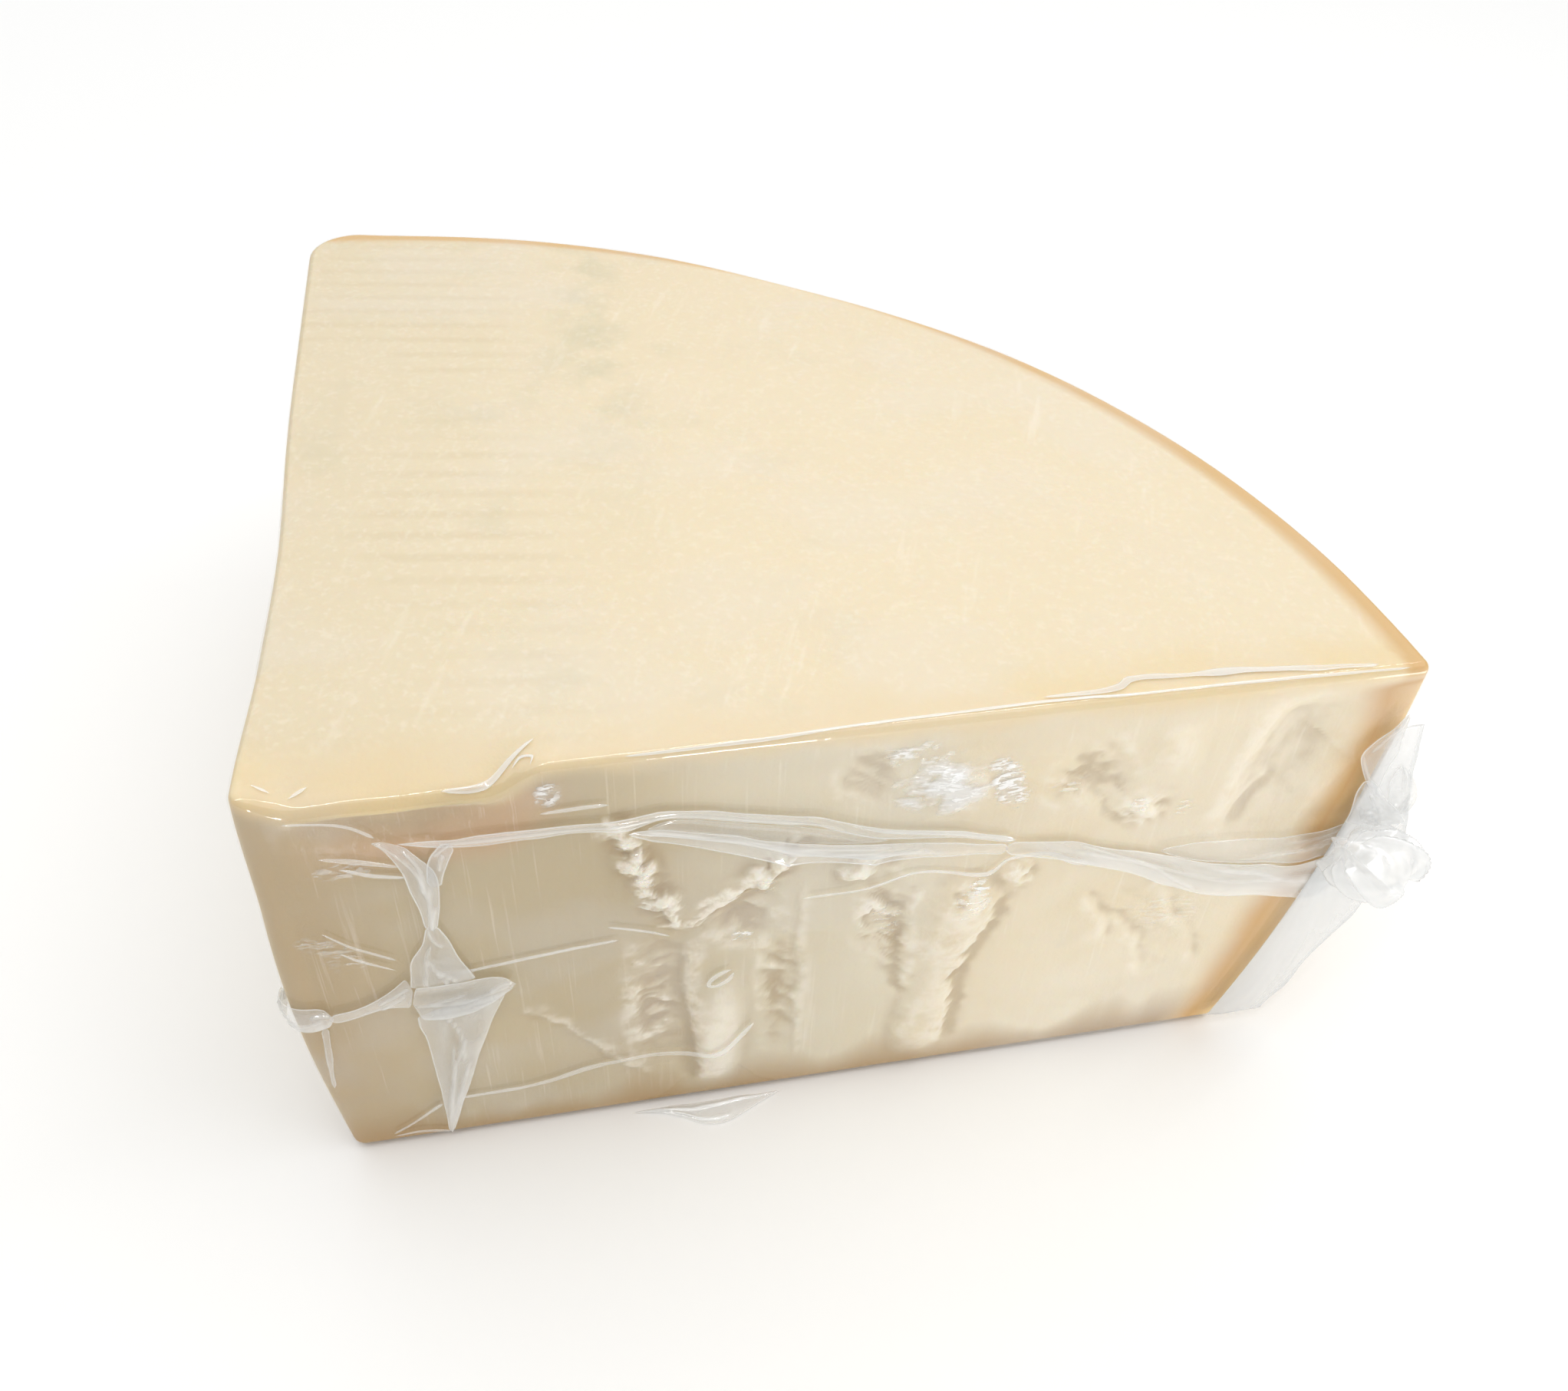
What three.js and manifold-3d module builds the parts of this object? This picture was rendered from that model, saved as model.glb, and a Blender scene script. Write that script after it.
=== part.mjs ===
// A parmesan chunk: one eighth of a wheel, shrink-wrapped in clear film.
// Millimetres, +Z up. The chunk is first built in its own wedge frame: the vertical
// cutting edge is the Z axis, one cut face lies along +X, the other along +Y, and the
// flat rind is at z = 0. At the end everything moves so that the origin is the middle
// of the bottom of the bounding box.

import * as THREE from 'three';
import { mergeVertices } from 'three/addons/utils/BufferGeometryUtils.js';
import Module from 'manifold-3d';

const wasm = await Module();
wasm.setup();

// ---------------------------------------------------------------- driving dimensions

const HEIGHT = 112;               // half of a wheel that is 224 high
const WHEEL_RADIUS = 218;         // at the wheel's mid height, where the top cut is
const BASE_RADIUS = 201;          // where the heel meets the flat rind
const BARREL_POWER = 2.2;         // how late the heel turns in towards the base
// the heel is a little flat about its middle; angles in degrees from the front face
const HEEL_FLAT = { depth: 3, angle: 52, spread: 15 };
const HEEL_UNEVEN = { height: 0.8, size: 9, ends: 8, seed: 5 };

const APEX_ROUND = 3.5;           // plan radius of the cutting edge
const FRONT_HEEL_ROUND = 3;       // plan radius of the corner of front face and heel
const BACK_HEEL_ROUND = 13;       // plan radius of the corner of left face and heel

const TOP_EDGE_ROUND = 2.8;       // roundings of the horizontal edges
const BASE_EDGE_ROUND = 3;

// the front top edge sags next to the cutting edge, between start and stop along it; each
// end of the sag takes the length of its ramp, and width is how far it reaches in
const CHIP = {
  depth: 5.5, width: 22, start: -2, startRamp: 11, stop: 51, stopRamp: 11,
  past: 2, uneven: 0.15, size: 8, seed: 31,
};
// the left face swells at half height near the cutting edge, its top edge stands out next
// to the cutting edge, and draws in further back; the last two are felt above topFrom
const LEFT_BULGE = { rise: 3.6, reach: 90 };
const LEFT_LIP = { rise: 1.6, reach: 36 };
const LEFT_HOLLOW = { fall: 1.4, at: 68, reach: 34 };
const LEFT_TOP_FROM = 0.7;        // share of the height

const FACE_FADE = 7;              // relief fades out this close to a face's edges
const FILM_GAP = 0.9;             // between the cheese and the gathers of the film
const FILM_THICKNESS = 0.9;       // of several layers of film gathered together

const COLUMNS = { front: 64, frontHeel: 4, heel: 24, backHeel: 6, left: 30, apex: 6 };
const ROWS = { base: 2, baseRound: 3, wall: 22, topRound: 3, top: 5 };
const TOP_RINGS = [0.03, 0.08, 0.17, 0.4];  // shares of the way from top edge to centre
const CENTRE = new THREE.Vector2(92, 92);   // plan point where the flat faces' rings end

const CHEESE_COLOUR = 0xe3d5b4;
const FILM_COLOUR = 0xe9ecec;

// ------------------------------------------------------------------------- functions

/** Goes smoothly from 0 at start to 1 at stop, whichever of the two is larger. */
function smoothstep(start, stop, value) {
  const share = THREE.MathUtils.clamp((value - start) / (stop - start), 0, 1);
  return share * share * (3 - 2 * share);
}

/** The same number from 0 to 1 each time for a lattice point. */
function latticeValue(i, j, seed) {
  const wave = Math.sin(i * 127.1 + j * 311.7 + seed * 74.7) * 43758.5453;
  return wave - Math.floor(wave);
}

/** Smooth noise from -1 to 1: lattice values blended over each unit cell. */
function valueNoise(u, v, seed) {
  const i = Math.floor(u);
  const j = Math.floor(v);
  const a = smoothstep(0, 1, u - i);
  const b = smoothstep(0, 1, v - j);
  const low = THREE.MathUtils.lerp(latticeValue(i, j, seed), latticeValue(i + 1, j, seed), a);
  const high = THREE.MathUtils.lerp(latticeValue(i, j + 1, seed), latticeValue(i + 1, j + 1, seed), a);
  return 2 * THREE.MathUtils.lerp(low, high, b) - 1;
}

/**
 * A closed surface from a grid of columns and rows. place(column, row) gives the point;
 * the last column meets the first, and the first and the last row are each one point.
 */
function closedSurface(columns, rows, place) {
  const geometry = new THREE.PlaneGeometry(1, 1, columns, rows);
  const positions = geometry.attributes.position;
  for (let i = 0; i < positions.count; i++) {
    const column = Math.round((positions.getX(i) + 0.5) * columns) % columns;
    const row = Math.round((positions.getY(i) + 0.5) * rows);
    const point = place(column, row);
    positions.setXYZ(i, point.x, point.y, point.z);
  }
  geometry.deleteAttribute('normal');
  geometry.deleteAttribute('uv');
  const merged = mergeVertices(geometry);
  const index = Array.from(merged.index.array);
  const kept = [];
  for (let i = 0; i < index.length; i += 3) {
    const [a, b, c] = index.slice(i, i + 3);
    if (a !== b && b !== c && c !== a) {
      kept.push(a, b, c);
    }
  }
  merged.setIndex(kept);
  return merged;
}

/** A manifold solid from a closed geometry. */
function toSolid(geometry) {
  return new wasm.Manifold(new wasm.Mesh({
    numProp: 3,
    vertProperties: Float32Array.from(geometry.attributes.position.array),
    triVerts: Uint32Array.from(geometry.index.array),
  }));
}

/** A geometry from a manifold solid. */
function toGeometry(solid) {
  const mesh = solid.getMesh();
  const geometry = new THREE.BufferGeometry();
  geometry.setAttribute('position', new THREE.BufferAttribute(mesh.vertProperties, 3));
  geometry.setIndex(new THREE.BufferAttribute(mesh.triVerts, 1));
  return geometry;
}

/** A named mesh with its own material. */
function namedMesh(name, geometry, colour, roughness) {
  geometry.computeVertexNormals();
  const material = new THREE.MeshStandardMaterial({ color: colour, roughness, metalness: 0 });
  const mesh = new THREE.Mesh(geometry, material);
  mesh.name = name;
  return mesh;
}

// ------------------------------------------------------------- relief of the cut faces

// Each form is a smooth mound or hollow about a point of the face. along is the distance
// from the cutting edge and z the height; wide and high are half sizes; lean is how far
// the form leans along the face for each millimetre up; rise is its height, negative for
// a hollow; edge is the share of its size that its flank takes; crag is how rough it is.
const FRONT_FORMS = [
  // the overhang under the chipped top edge
  { along: 24, z: 101, wide: 24, high: 6, rise: -1.8, edge: 0.8, crag: 0.2 },
  // broken band from the top left down to the first notch
  { along: 66.5, z: 79, wide: 3.6, high: 20, lean: -0.36, rise: 1.4, edge: 0.8, crag: 1.0 },
  // broken ground where the smooth cut stops
  { along: 67.5, z: 39, wide: 6.5, high: 31, rise: -1.7, edge: 0.5, crag: 0.9 },
  // crest over the dark notch, and the notch
  { along: 88.5, z: 76, wide: 4, high: 8, lean: 0.5, rise: 1.5, edge: 0.7, crag: 0.9 },
  { along: 86, z: 63, wide: 9, high: 10, lean: -0.1, rise: -3.4, edge: 0.7, crag: 0.7 },
  { along: 93, z: 38, wide: 5, high: 26, rise: -1.5, edge: 0.7, crag: 0.6 },
  // smooth lobe below the notch
  { along: 80.5, z: 24, wide: 7.5, high: 27, lean: 0.05, rise: 2.2, edge: 0.7, crag: 0.1 },
  // hollow below the top edge, with the crags under it
  { along: 108.5, z: 100, wide: 6.5, high: 9.5, rise: -2.4, edge: 0.7, crag: 0.5 },
  { along: 108, z: 75, wide: 4.5, high: 5, rise: 1.1, edge: 0.7, crag: 1.0 },
  // rough ground left of the round bulge
  { along: 115, z: 57, wide: 5, high: 18, lean: -0.1, rise: -1.6, edge: 0.6, crag: 0.8 },
  // round bulge, and the smooth body below it
  { along: 128.5, z: 50, wide: 10.5, high: 17, lean: 0.1, rise: 3.2, edge: 0.6, crag: 0.3 },
  { along: 126, z: 20, wide: 8, high: 24, lean: 0.05, rise: 1.6, edge: 0.7, crag: 0.1 },
  { along: 142, z: 66, wide: 3.4, high: 6, rise: 1.3, edge: 0.7, crag: 0.8 },
  // flaky slope towards the lower heel
  { along: 175, z: 41, wide: 15, high: 22, lean: -0.45, rise: -1.2, edge: 0.6, crag: 0.8 },
  // pits and ridges under the right half of the top edge
  { along: 151, z: 92, wide: 7, high: 14, lean: -0.4, rise: -3.2, edge: 0.6, crag: 0.9 },
  { along: 167, z: 79, wide: 7, high: 9, rise: 0.7, edge: 0.8, crag: 0.6 },
  { along: 166, z: 96, wide: 7, high: 13, rise: 1.0, edge: 0.9, crag: 0.1 },
  { along: 194, z: 88, wide: 11, high: 25, lean: 0.15, rise: -3.2, edge: 0.8, crag: 0.2 },
];
const LEFT_FORMS = [
  { along: 38, z: 72, wide: 9, high: 26, lean: -0.2, rise: -3.0, edge: 0.6, crag: 1.0 },
  { along: 52, z: 40, wide: 7, high: 24, lean: 0.1, rise: 2.2, edge: 0.6, crag: 0.5 },
  { along: 88, z: 60, wide: 8, high: 34, lean: 0.2, rise: -2.6, edge: 0.6, crag: 1.2 },
  { along: 104, z: 84, wide: 9, high: 16, lean: -0.4, rise: 1.8, edge: 0.7, crag: 0.7 },
  { along: 132, z: 46, wide: 9, high: 32, lean: -0.1, rise: -2.4, edge: 0.6, crag: 1.1 },
  { along: 146, z: 70, wide: 7, high: 20, lean: 0.3, rise: 2.0, edge: 0.6, crag: 0.6 },
  { along: 176, z: 56, wide: 10, high: 34, lean: 0.1, rise: -2.0, edge: 0.7, crag: 0.8 },
];
const FRONT_SEED = 11;
const LEFT_SEED = 23;
const CRAG_SIZE = { along: 5, z: 4 };     // spacing of the crags
const WAVE = { size: 34, height: 0.6 };   // slow waves of a split face

/** How much of a form is felt at a point: 1 on it, 0 off it, with soft flanks. */
function formShare(form, along, z) {
  const up = z - form.z;
  const across = along - form.along - (form.lean ?? 0) * up;
  const distance = Math.hypot(across / form.wide, up / form.high);
  return smoothstep(0, form.edge, 1 - distance);
}

/** Height of a cut face over its plane: forms, crags on them, and slow waves. */
function faceRelief(forms, seed, along, z) {
  let relief = WAVE.height * valueNoise(along / WAVE.size, z / WAVE.size, seed);
  for (const form of forms) {
    const share = formShare(form, along, z);
    const crag = form.crag * valueNoise(along / CRAG_SIZE.along, z / CRAG_SIZE.z, seed + 1);
    relief += share * (form.rise + crag);
  }
  return relief;
}

/** Relief with its fading towards the four edges of a face that is length long. */
function fadedRelief(forms, seed, along, z, length) {
  const sides = smoothstep(0, FACE_FADE, along - APEX_ROUND)
    * smoothstep(0, FACE_FADE, length - along);
  const ends = smoothstep(BASE_EDGE_ROUND / 2, BASE_EDGE_ROUND + FACE_FADE, z)
    * smoothstep(0, FACE_FADE, HEIGHT - TOP_EDGE_ROUND - z);
  return sides * ends * faceRelief(forms, seed, along, z);
}

/** Relief of the front face. */
function frontRelief(along, z) {
  return fadedRelief(FRONT_FORMS, FRONT_SEED, along, z, heelRadius(z) - FRONT_HEEL_ROUND);
}

/** Relief of the left face. */
function leftRelief(along, z) {
  return fadedRelief(LEFT_FORMS, LEFT_SEED, along, z, heelRadius(z) - BACK_HEEL_ROUND);
}

// ------------------------------------------------------------------------ chunk walls

/** Radius of the barrel-shaped heel: full at the top, turning in towards the base. */
function heelRadius(z) {
  const down = 1 - THREE.MathUtils.clamp(z / HEIGHT, 0, 1);
  return WHEEL_RADIUS - (WHEEL_RADIUS - BASE_RADIUS) * down ** BARREL_POWER;
}

/** How far the heel falls short of its circle at a plan angle in degrees. */
function heelShortfall(angle) {
  const { height, size, ends, seed } = HEEL_UNEVEN;
  const flat = HEEL_FLAT.depth * Math.exp(-(((angle - HEEL_FLAT.angle) / HEEL_FLAT.spread) ** 2));
  const inside = smoothstep(0, ends, angle) * smoothstep(0, ends, 90 - angle);
  return flat + inside * height * (1 + valueNoise(angle / size, 0.5, seed));
}

/** Swelling of the left face near the cutting edge, with the lip and hollow at its top. */
function leftSwell(along, z) {
  const level = z / HEIGHT;
  const atTop = smoothstep(LEFT_TOP_FROM, 1, level);
  const bulge = LEFT_BULGE.rise * Math.sin(Math.PI * level) * smoothstep(LEFT_BULGE.reach, 0, along);
  const lip = LEFT_LIP.rise * smoothstep(LEFT_LIP.reach, 0, along) * atTop;
  const reach = (along - LEFT_HOLLOW.at) / LEFT_HOLLOW.reach;
  const hollow = LEFT_HOLLOW.fall * Math.exp(-(reach ** 2)) * atTop;
  return bulge + lip - hollow;
}

/** The plan outline of a wedge of the given radius, anticlockwise from the cutting edge. */
function planOutline(radius) {
  const frontReach = Math.sqrt((radius - FRONT_HEEL_ROUND) ** 2 - FRONT_HEEL_ROUND ** 2);
  const backReach = Math.sqrt((radius - BACK_HEEL_ROUND) ** 2 - BACK_HEEL_ROUND ** 2);
  const frontAngle = Math.atan2(FRONT_HEEL_ROUND, frontReach);
  const backAngle = Math.atan2(BACK_HEEL_ROUND, backReach);
  const quarter = Math.PI / 2;
  const outline = new THREE.Path();
  outline.moveTo(APEX_ROUND, 0);
  outline.lineTo(frontReach, 0);
  outline.absarc(frontReach, FRONT_HEEL_ROUND, FRONT_HEEL_ROUND, -quarter, frontAngle, false);
  outline.absarc(0, 0, radius, frontAngle, quarter - backAngle, false);
  outline.absarc(BACK_HEEL_ROUND, backReach, BACK_HEEL_ROUND, quarter - backAngle, 2 * quarter, false);
  outline.lineTo(0, APEX_ROUND);
  outline.absarc(APEX_ROUND, APEX_ROUND, APEX_ROUND, 2 * quarter, 3 * quarter, false);
  return outline;
}

const LEAST_CURVE = 1e-6;         // shorter links between the outline's parts are left out
const PARTS_OF_OUTLINE = ['front', 'frontHeel', 'heel', 'backHeel', 'left', 'apex'];
const COLUMN_TOTAL = PARTS_OF_OUTLINE.reduce((sum, part) => sum + COLUMNS[part], 0);

/** Which part of the outline a column belongs to, and how far along that part it is. */
function columnPlace(column) {
  let left = column;
  for (const [order, part] of PARTS_OF_OUTLINE.entries()) {
    if (left < COLUMNS[part]) {
      return { order, part, share: left / COLUMNS[part] };
    }
    left -= COLUMNS[part];
  }
  throw new Error('column outside the outline');
}

/**
 * The wall at a column and a height: its plan point and its outward direction. The heel
 * falls short of its circle, and the left face swells, before any relief.
 */
function wallPoint(column, z) {
  const { order, part, share } = columnPlace(column);
  const curves = planOutline(heelRadius(z)).curves.filter((curve) => curve.getLength() > LEAST_CURVE);
  const point = curves[order].getPoint(share);
  const tangent = curves[order].getTangent(share);
  const outward = new THREE.Vector2(tangent.y, -tangent.x);
  let offset = 0;
  if (part === 'front') {
    offset = frontRelief(point.x, z);
  } else if (part === 'heel') {
    offset = -heelShortfall(THREE.MathUtils.radToDeg(Math.atan2(point.y, point.x)));
  } else if (part === 'left') {
    offset = leftRelief(point.y, z) + leftSwell(point.y, z);
  } else if (part === 'apex') {
    offset = smoothstep(1, 0, share) * leftSwell(APEX_ROUND, z);
  }
  return { point: point.addScaledVector(outward, offset), outward };
}

/** How far the top face sags at a plan point, where its front edge is chipped. */
function topSag(plan) {
  const start = smoothstep(CHIP.start, CHIP.start + CHIP.startRamp, plan.x);
  const stop = smoothstep(CHIP.stop, CHIP.stop - CHIP.stopRamp, plan.x);
  const inward = smoothstep(CHIP.width, -CHIP.past, plan.y) ** 2;
  const uneven = 1 + CHIP.uneven * valueNoise(plan.x / CHIP.size, 0.5, CHIP.seed);
  return CHIP.depth * start * stop * inward * uneven;
}

/**
 * A point of a rounded horizontal edge. end is 0 at the base and 1 at the top; turn runs
 * from 0 on the flat face to 1 on the wall.
 */
function edgePoint(column, end, turn) {
  const round = end === 0 ? BASE_EDGE_ROUND : TOP_EDGE_ROUND;
  const angle = turn * Math.PI / 2;
  const wallZ = end === 0 ? round : HEIGHT - round;
  const { point, outward } = wallPoint(column, wallZ);
  const plan = point.addScaledVector(outward, -round * (1 - Math.sin(angle)));
  const toFlat = round * Math.cos(angle);
  const z = end === 0 ? wallZ - toFlat : wallZ + toFlat - topSag(plan);
  return new THREE.Vector3(plan.x, plan.y, z);
}

// The rows of the chunk's surface run from the middle of the base over its rounded edge,
// up the wall, over the top edge and in to the middle of the top.
const ROW_TOTAL = ROWS.base + ROWS.baseRound + ROWS.wall + ROWS.topRound + ROWS.top;

/** A point of the chunk's surface. */
function chunkPoint(column, row) {
  let step = row;
  if (step < ROWS.base) {
    const edge = edgePoint(column, 0, 0);
    const plan = new THREE.Vector2(edge.x, edge.y).lerp(CENTRE, 1 - step / ROWS.base);
    return new THREE.Vector3(plan.x, plan.y, 0);
  }
  step -= ROWS.base;
  if (step < ROWS.baseRound) {
    return edgePoint(column, 0, step / ROWS.baseRound);
  }
  step -= ROWS.baseRound;
  if (step < ROWS.wall) {
    const topEnd = edgePoint(column, 1, 1);
    const z = THREE.MathUtils.lerp(BASE_EDGE_ROUND, topEnd.z, step / ROWS.wall);
    const { point } = wallPoint(column, z);
    return new THREE.Vector3(point.x, point.y, z);
  }
  step -= ROWS.wall;
  if (step <= ROWS.topRound) {
    return edgePoint(column, 1, 1 - step / ROWS.topRound);
  }
  step -= ROWS.topRound;
  const edge = edgePoint(column, 1, 0);
  const share = step < ROWS.top ? TOP_RINGS[step - 1] : 1;
  const plan = new THREE.Vector2(edge.x, edge.y).lerp(CENTRE, share);
  return new THREE.Vector3(plan.x, plan.y, HEIGHT - topSag(plan));
}

// --------------------------------------------------------------- gathers of the film

const APEX_ARC = APEX_ROUND * Math.PI / 2;

/**
 * A point over the front face, the cutting edge or the left face, at a distance from the
 * surface. along is measured round the cutting edge: positive over the front face,
 * negative over the left one.
 */
function overWalls(along, z, lift) {
  const straight = Math.abs(along) - APEX_ARC / 2;
  if (straight <= 0) {
    const angle = -0.75 * Math.PI + along / APEX_ROUND;
    const share = smoothstep(APEX_ARC / 2, -APEX_ARC / 2, along);
    const reach = APEX_ROUND + lift + share * leftSwell(APEX_ROUND, z);
    return new THREE.Vector3(
      APEX_ROUND + reach * Math.cos(angle), APEX_ROUND + reach * Math.sin(angle), z);
  }
  const face = APEX_ROUND + straight;
  if (along > 0) {
    return new THREE.Vector3(face, -lift - Math.max(frontRelief(face, z), 0), z);
  }
  return new THREE.Vector3(-lift - Math.max(leftRelief(face, z), 0) - leftSwell(face, z), face, z);
}

/**
 * A flat gather of film laid over the walls along a smooth path. Each station is
 * [distance from the cutting edge, height, width]; the section is a flat oval.
 */
function gather(stations, sides, steps) {
  const path = new THREE.CatmullRomCurve3(
    stations.map(([along, z, width]) => new THREE.Vector3(along, z, width)));
  const rows = steps + 2;
  return closedSurface(sides, rows, (column, row) => {
    const share = THREE.MathUtils.clamp((row - 1) / steps, 0, 1);
    const at = path.getPoint(share);
    const heading = path.getTangent(share);
    const length = Math.hypot(heading.x, heading.y);
    const end = row === 0 || row === rows;
    const angle = 2 * Math.PI * column / sides;
    const across = end ? 0 : at.z / 2 * Math.cos(angle);
    const out = end ? 0 : FILM_THICKNESS / 2 * Math.sin(angle);
    return overWalls(
      at.x - heading.y / length * across,
      at.y + heading.x / length * across,
      FILM_GAP + FILM_THICKNESS / 2 + out);
  });
}

// the seam runs across the front, falling and widening towards the heel
const SEAM = [
  [22, 96.3, 3], [42, 96.2, 3], [62, 95.6, 4], [80, 90.5, 10], [98, 85.5, 11], [116, 80.6, 8.5],
  [134, 76, 6.5], [150, 71.9, 6], [165, 65.6, 7.5], [180, 61.2, 15], [194, 59, 19], [206, 58, 18],
];
// the pleat hangs from the seam's left end: a twisted neck, a broad part and a tapering tail
const PLEAT = [
  [26, 97.5, 13], [26.5, 88, 6.5], [26.4, 75, 2], [25.5, 66, 8], [26, 56, 13], [27.6, 46, 15],
  [25.6, 33, 10.5], [23.6, 20.7, 6.3], [22.2, 12, 3.4], [20.9, 4, 1.2],
];
// the flag is the pleat's loose corner
const FLAG = [[21, 52, 10], [29, 51.6, 10.8], [35.5, 53, 8], [39.4, 54.2, 2.4]];
// the side seam leaves the pleat, rounds the cutting edge and runs back over the left face
const SIDE_SEAM = [
  [20.4, 56, 10.5], [14, 53.4, 4.5], [8, 51, 2.6], [2.5, 50.8, 5], [-2, 51.6, 6.5], [-6, 51.7, 4],
  [-16, 52, 2.5], [-60, 57, 3], [-110, 60, 3], [-150, 61, 2],
];

/** All gathers that lie on the walls, joined into one solid. */
function filmGathers() {
  const pieces = [
    gather(SEAM, 8, 32), gather(PLEAT, 8, 22), gather(FLAG, 8, 4), gather(SIDE_SEAM, 8, 44),
  ];
  return toGeometry(pieces.map(toSolid).reduce((whole, piece) => whole.add(piece)));
}

// ---------------------------------------------------------- film tail beyond the heel

const FIN = {
  low: 5, high: 97,               // heights between which the fin stands out of the corner
  root: -5,                       // its root laps over the rounded corner
  reach: 11,                      // at the bunch, the most that it stands out
  reachAt: 52,
  spread: 28,                     // height over which the reach falls to a third
  least: { low: 8, high: 0.8 },   // what it keeps at its two ends
  thickness: 1.1,
  gap: 0.4,                       // between the front face's plane and the fin
  uneven: { share: 0.12, size: 6, seed: 7 },       // of the outer edge
  wave: { height: 1.4, size: 9, from: 6, seed: 3 },  // to and fro, beyond the corner
};
const BUNCH = {
  centre: new THREE.Vector3(216.5, -7.8, 63.5),
  half: new THREE.Vector3(16.5, 6, 10),
  pleats: 5,
  fold: 0.12,                     // depth of its folds as a share of its size
  crumple: { share: 0.7, size: 1.5, seed: 9 },     // of the folds' depth
  tilt: -0.65,                    // radians, nose down away from the chunk
};

/** The flat web of film that stands out of the corner of front face and heel. */
function filmFin() {
  const sides = 12;
  const steps = 22;
  return closedSurface(sides, steps + 2, (column, row) => {
    const share = THREE.MathUtils.clamp((row - 1) / steps, 0, 1);
    const end = row === 0 || row === steps + 2;
    const z = THREE.MathUtils.lerp(FIN.high, FIN.low, share);
    const near = ((z - FIN.reachAt) / FIN.spread) ** 2;
    const uneven = 1 + FIN.uneven.share * valueNoise(z / FIN.uneven.size, 0.5, FIN.uneven.seed);
    const reach = THREE.MathUtils.lerp(FIN.least.high, FIN.least.low, share)
      + FIN.reach * Math.exp(-near) * uneven;
    const angle = 2 * Math.PI * column / sides;
    const out = end ? 0 : Math.cos(angle);
    const across = end ? 0 : FIN.thickness / 2 * Math.sin(angle);
    const fromRoot = (reach - FIN.root) / 2 * (1 + out);
    const { height, size, from, seed } = FIN.wave;
    const wave = height * smoothstep(0, from, fromRoot) * valueNoise(z / size, fromRoot / size, seed);
    return new THREE.Vector3(
      heelRadius(z) + FIN.root + fromRoot, -FIN.gap - FIN.thickness / 2 + wave - across, z);
  });
}

/** The crumpled bunch of film: a flat, folded knot. */
function filmBunch() {
  const sides = 24;
  const rows = 14;
  return closedSurface(sides, rows, (column, row) => {
    const around = 2 * Math.PI * column / sides;
    const polar = Math.PI * row / rows;
    const direction = new THREE.Vector3(
      -Math.cos(polar), -Math.sin(polar) * Math.cos(around), -Math.sin(polar) * Math.sin(around));
    const { share, size, seed } = BUNCH.crumple;
    const crumple = share * valueNoise(direction.y * size, direction.z * size, seed);
    const folds = Math.sin(polar) * (Math.sin(BUNCH.pleats * around + 2 * polar) + crumple);
    const point = direction.multiply(BUNCH.half).multiplyScalar(1 + BUNCH.fold * folds);
    point.applyAxisAngle(new THREE.Vector3(0, 1, 0), -BUNCH.tilt);
    return point.add(BUNCH.centre);
  });
}

/** The whole tail in one solid. */
function filmTail() {
  return toGeometry(toSolid(filmFin()).add(toSolid(filmBunch())));
}

// ----------------------------------------------- film tab lying in front of the chunk

const TAB = { start: 60, tip: 79, end: 95, reach: 6.5, gap: 0.5, low: 0.3, high: 1.1 };

/** The flat tip of film that comes out from under the front face. */
function filmTab() {
  const outline = new THREE.Shape();
  outline.moveTo(TAB.start, -TAB.gap);
  outline.quadraticCurveTo(TAB.start + 9, -TAB.gap - 1.6, TAB.tip - 3, -TAB.reach);
  outline.lineTo(TAB.tip + 3, -TAB.reach);
  outline.lineTo(TAB.end, -TAB.gap);
  outline.closePath();
  const geometry = new THREE.ExtrudeGeometry(outline, {
    depth: TAB.high - TAB.low, bevelEnabled: false, curveSegments: 6,
  });
  geometry.translate(0, 0, TAB.low);
  geometry.deleteAttribute('normal');
  geometry.deleteAttribute('uv');
  return mergeVertices(geometry);
}

// -------------------------------------------------------------------------- the model

const chunk = new THREE.Group();
chunk.add(namedMesh('cheese', closedSurface(COLUMN_TOTAL, ROW_TOTAL, chunkPoint), CHEESE_COLOUR, 0.6));
chunk.add(namedMesh('film_gathers', filmGathers(), FILM_COLOUR, 0.2));
chunk.add(namedMesh('film_tail', filmTail(), FILM_COLOUR, 0.2));
chunk.add(namedMesh('film_tab', filmTab(), FILM_COLOUR, 0.2));

const box = new THREE.Box3().setFromObject(chunk);
const middle = box.getCenter(new THREE.Vector3());
for (const mesh of chunk.children) {
  mesh.geometry.translate(-middle.x, -middle.y, -box.min.z);
}

export default chunk;
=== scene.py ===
"""A parmesan chunk, an eighth of a wheel, shrink-wrapped in clear film."""

import bpy
import numpy as np
from mathutils import Matrix, Vector


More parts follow.
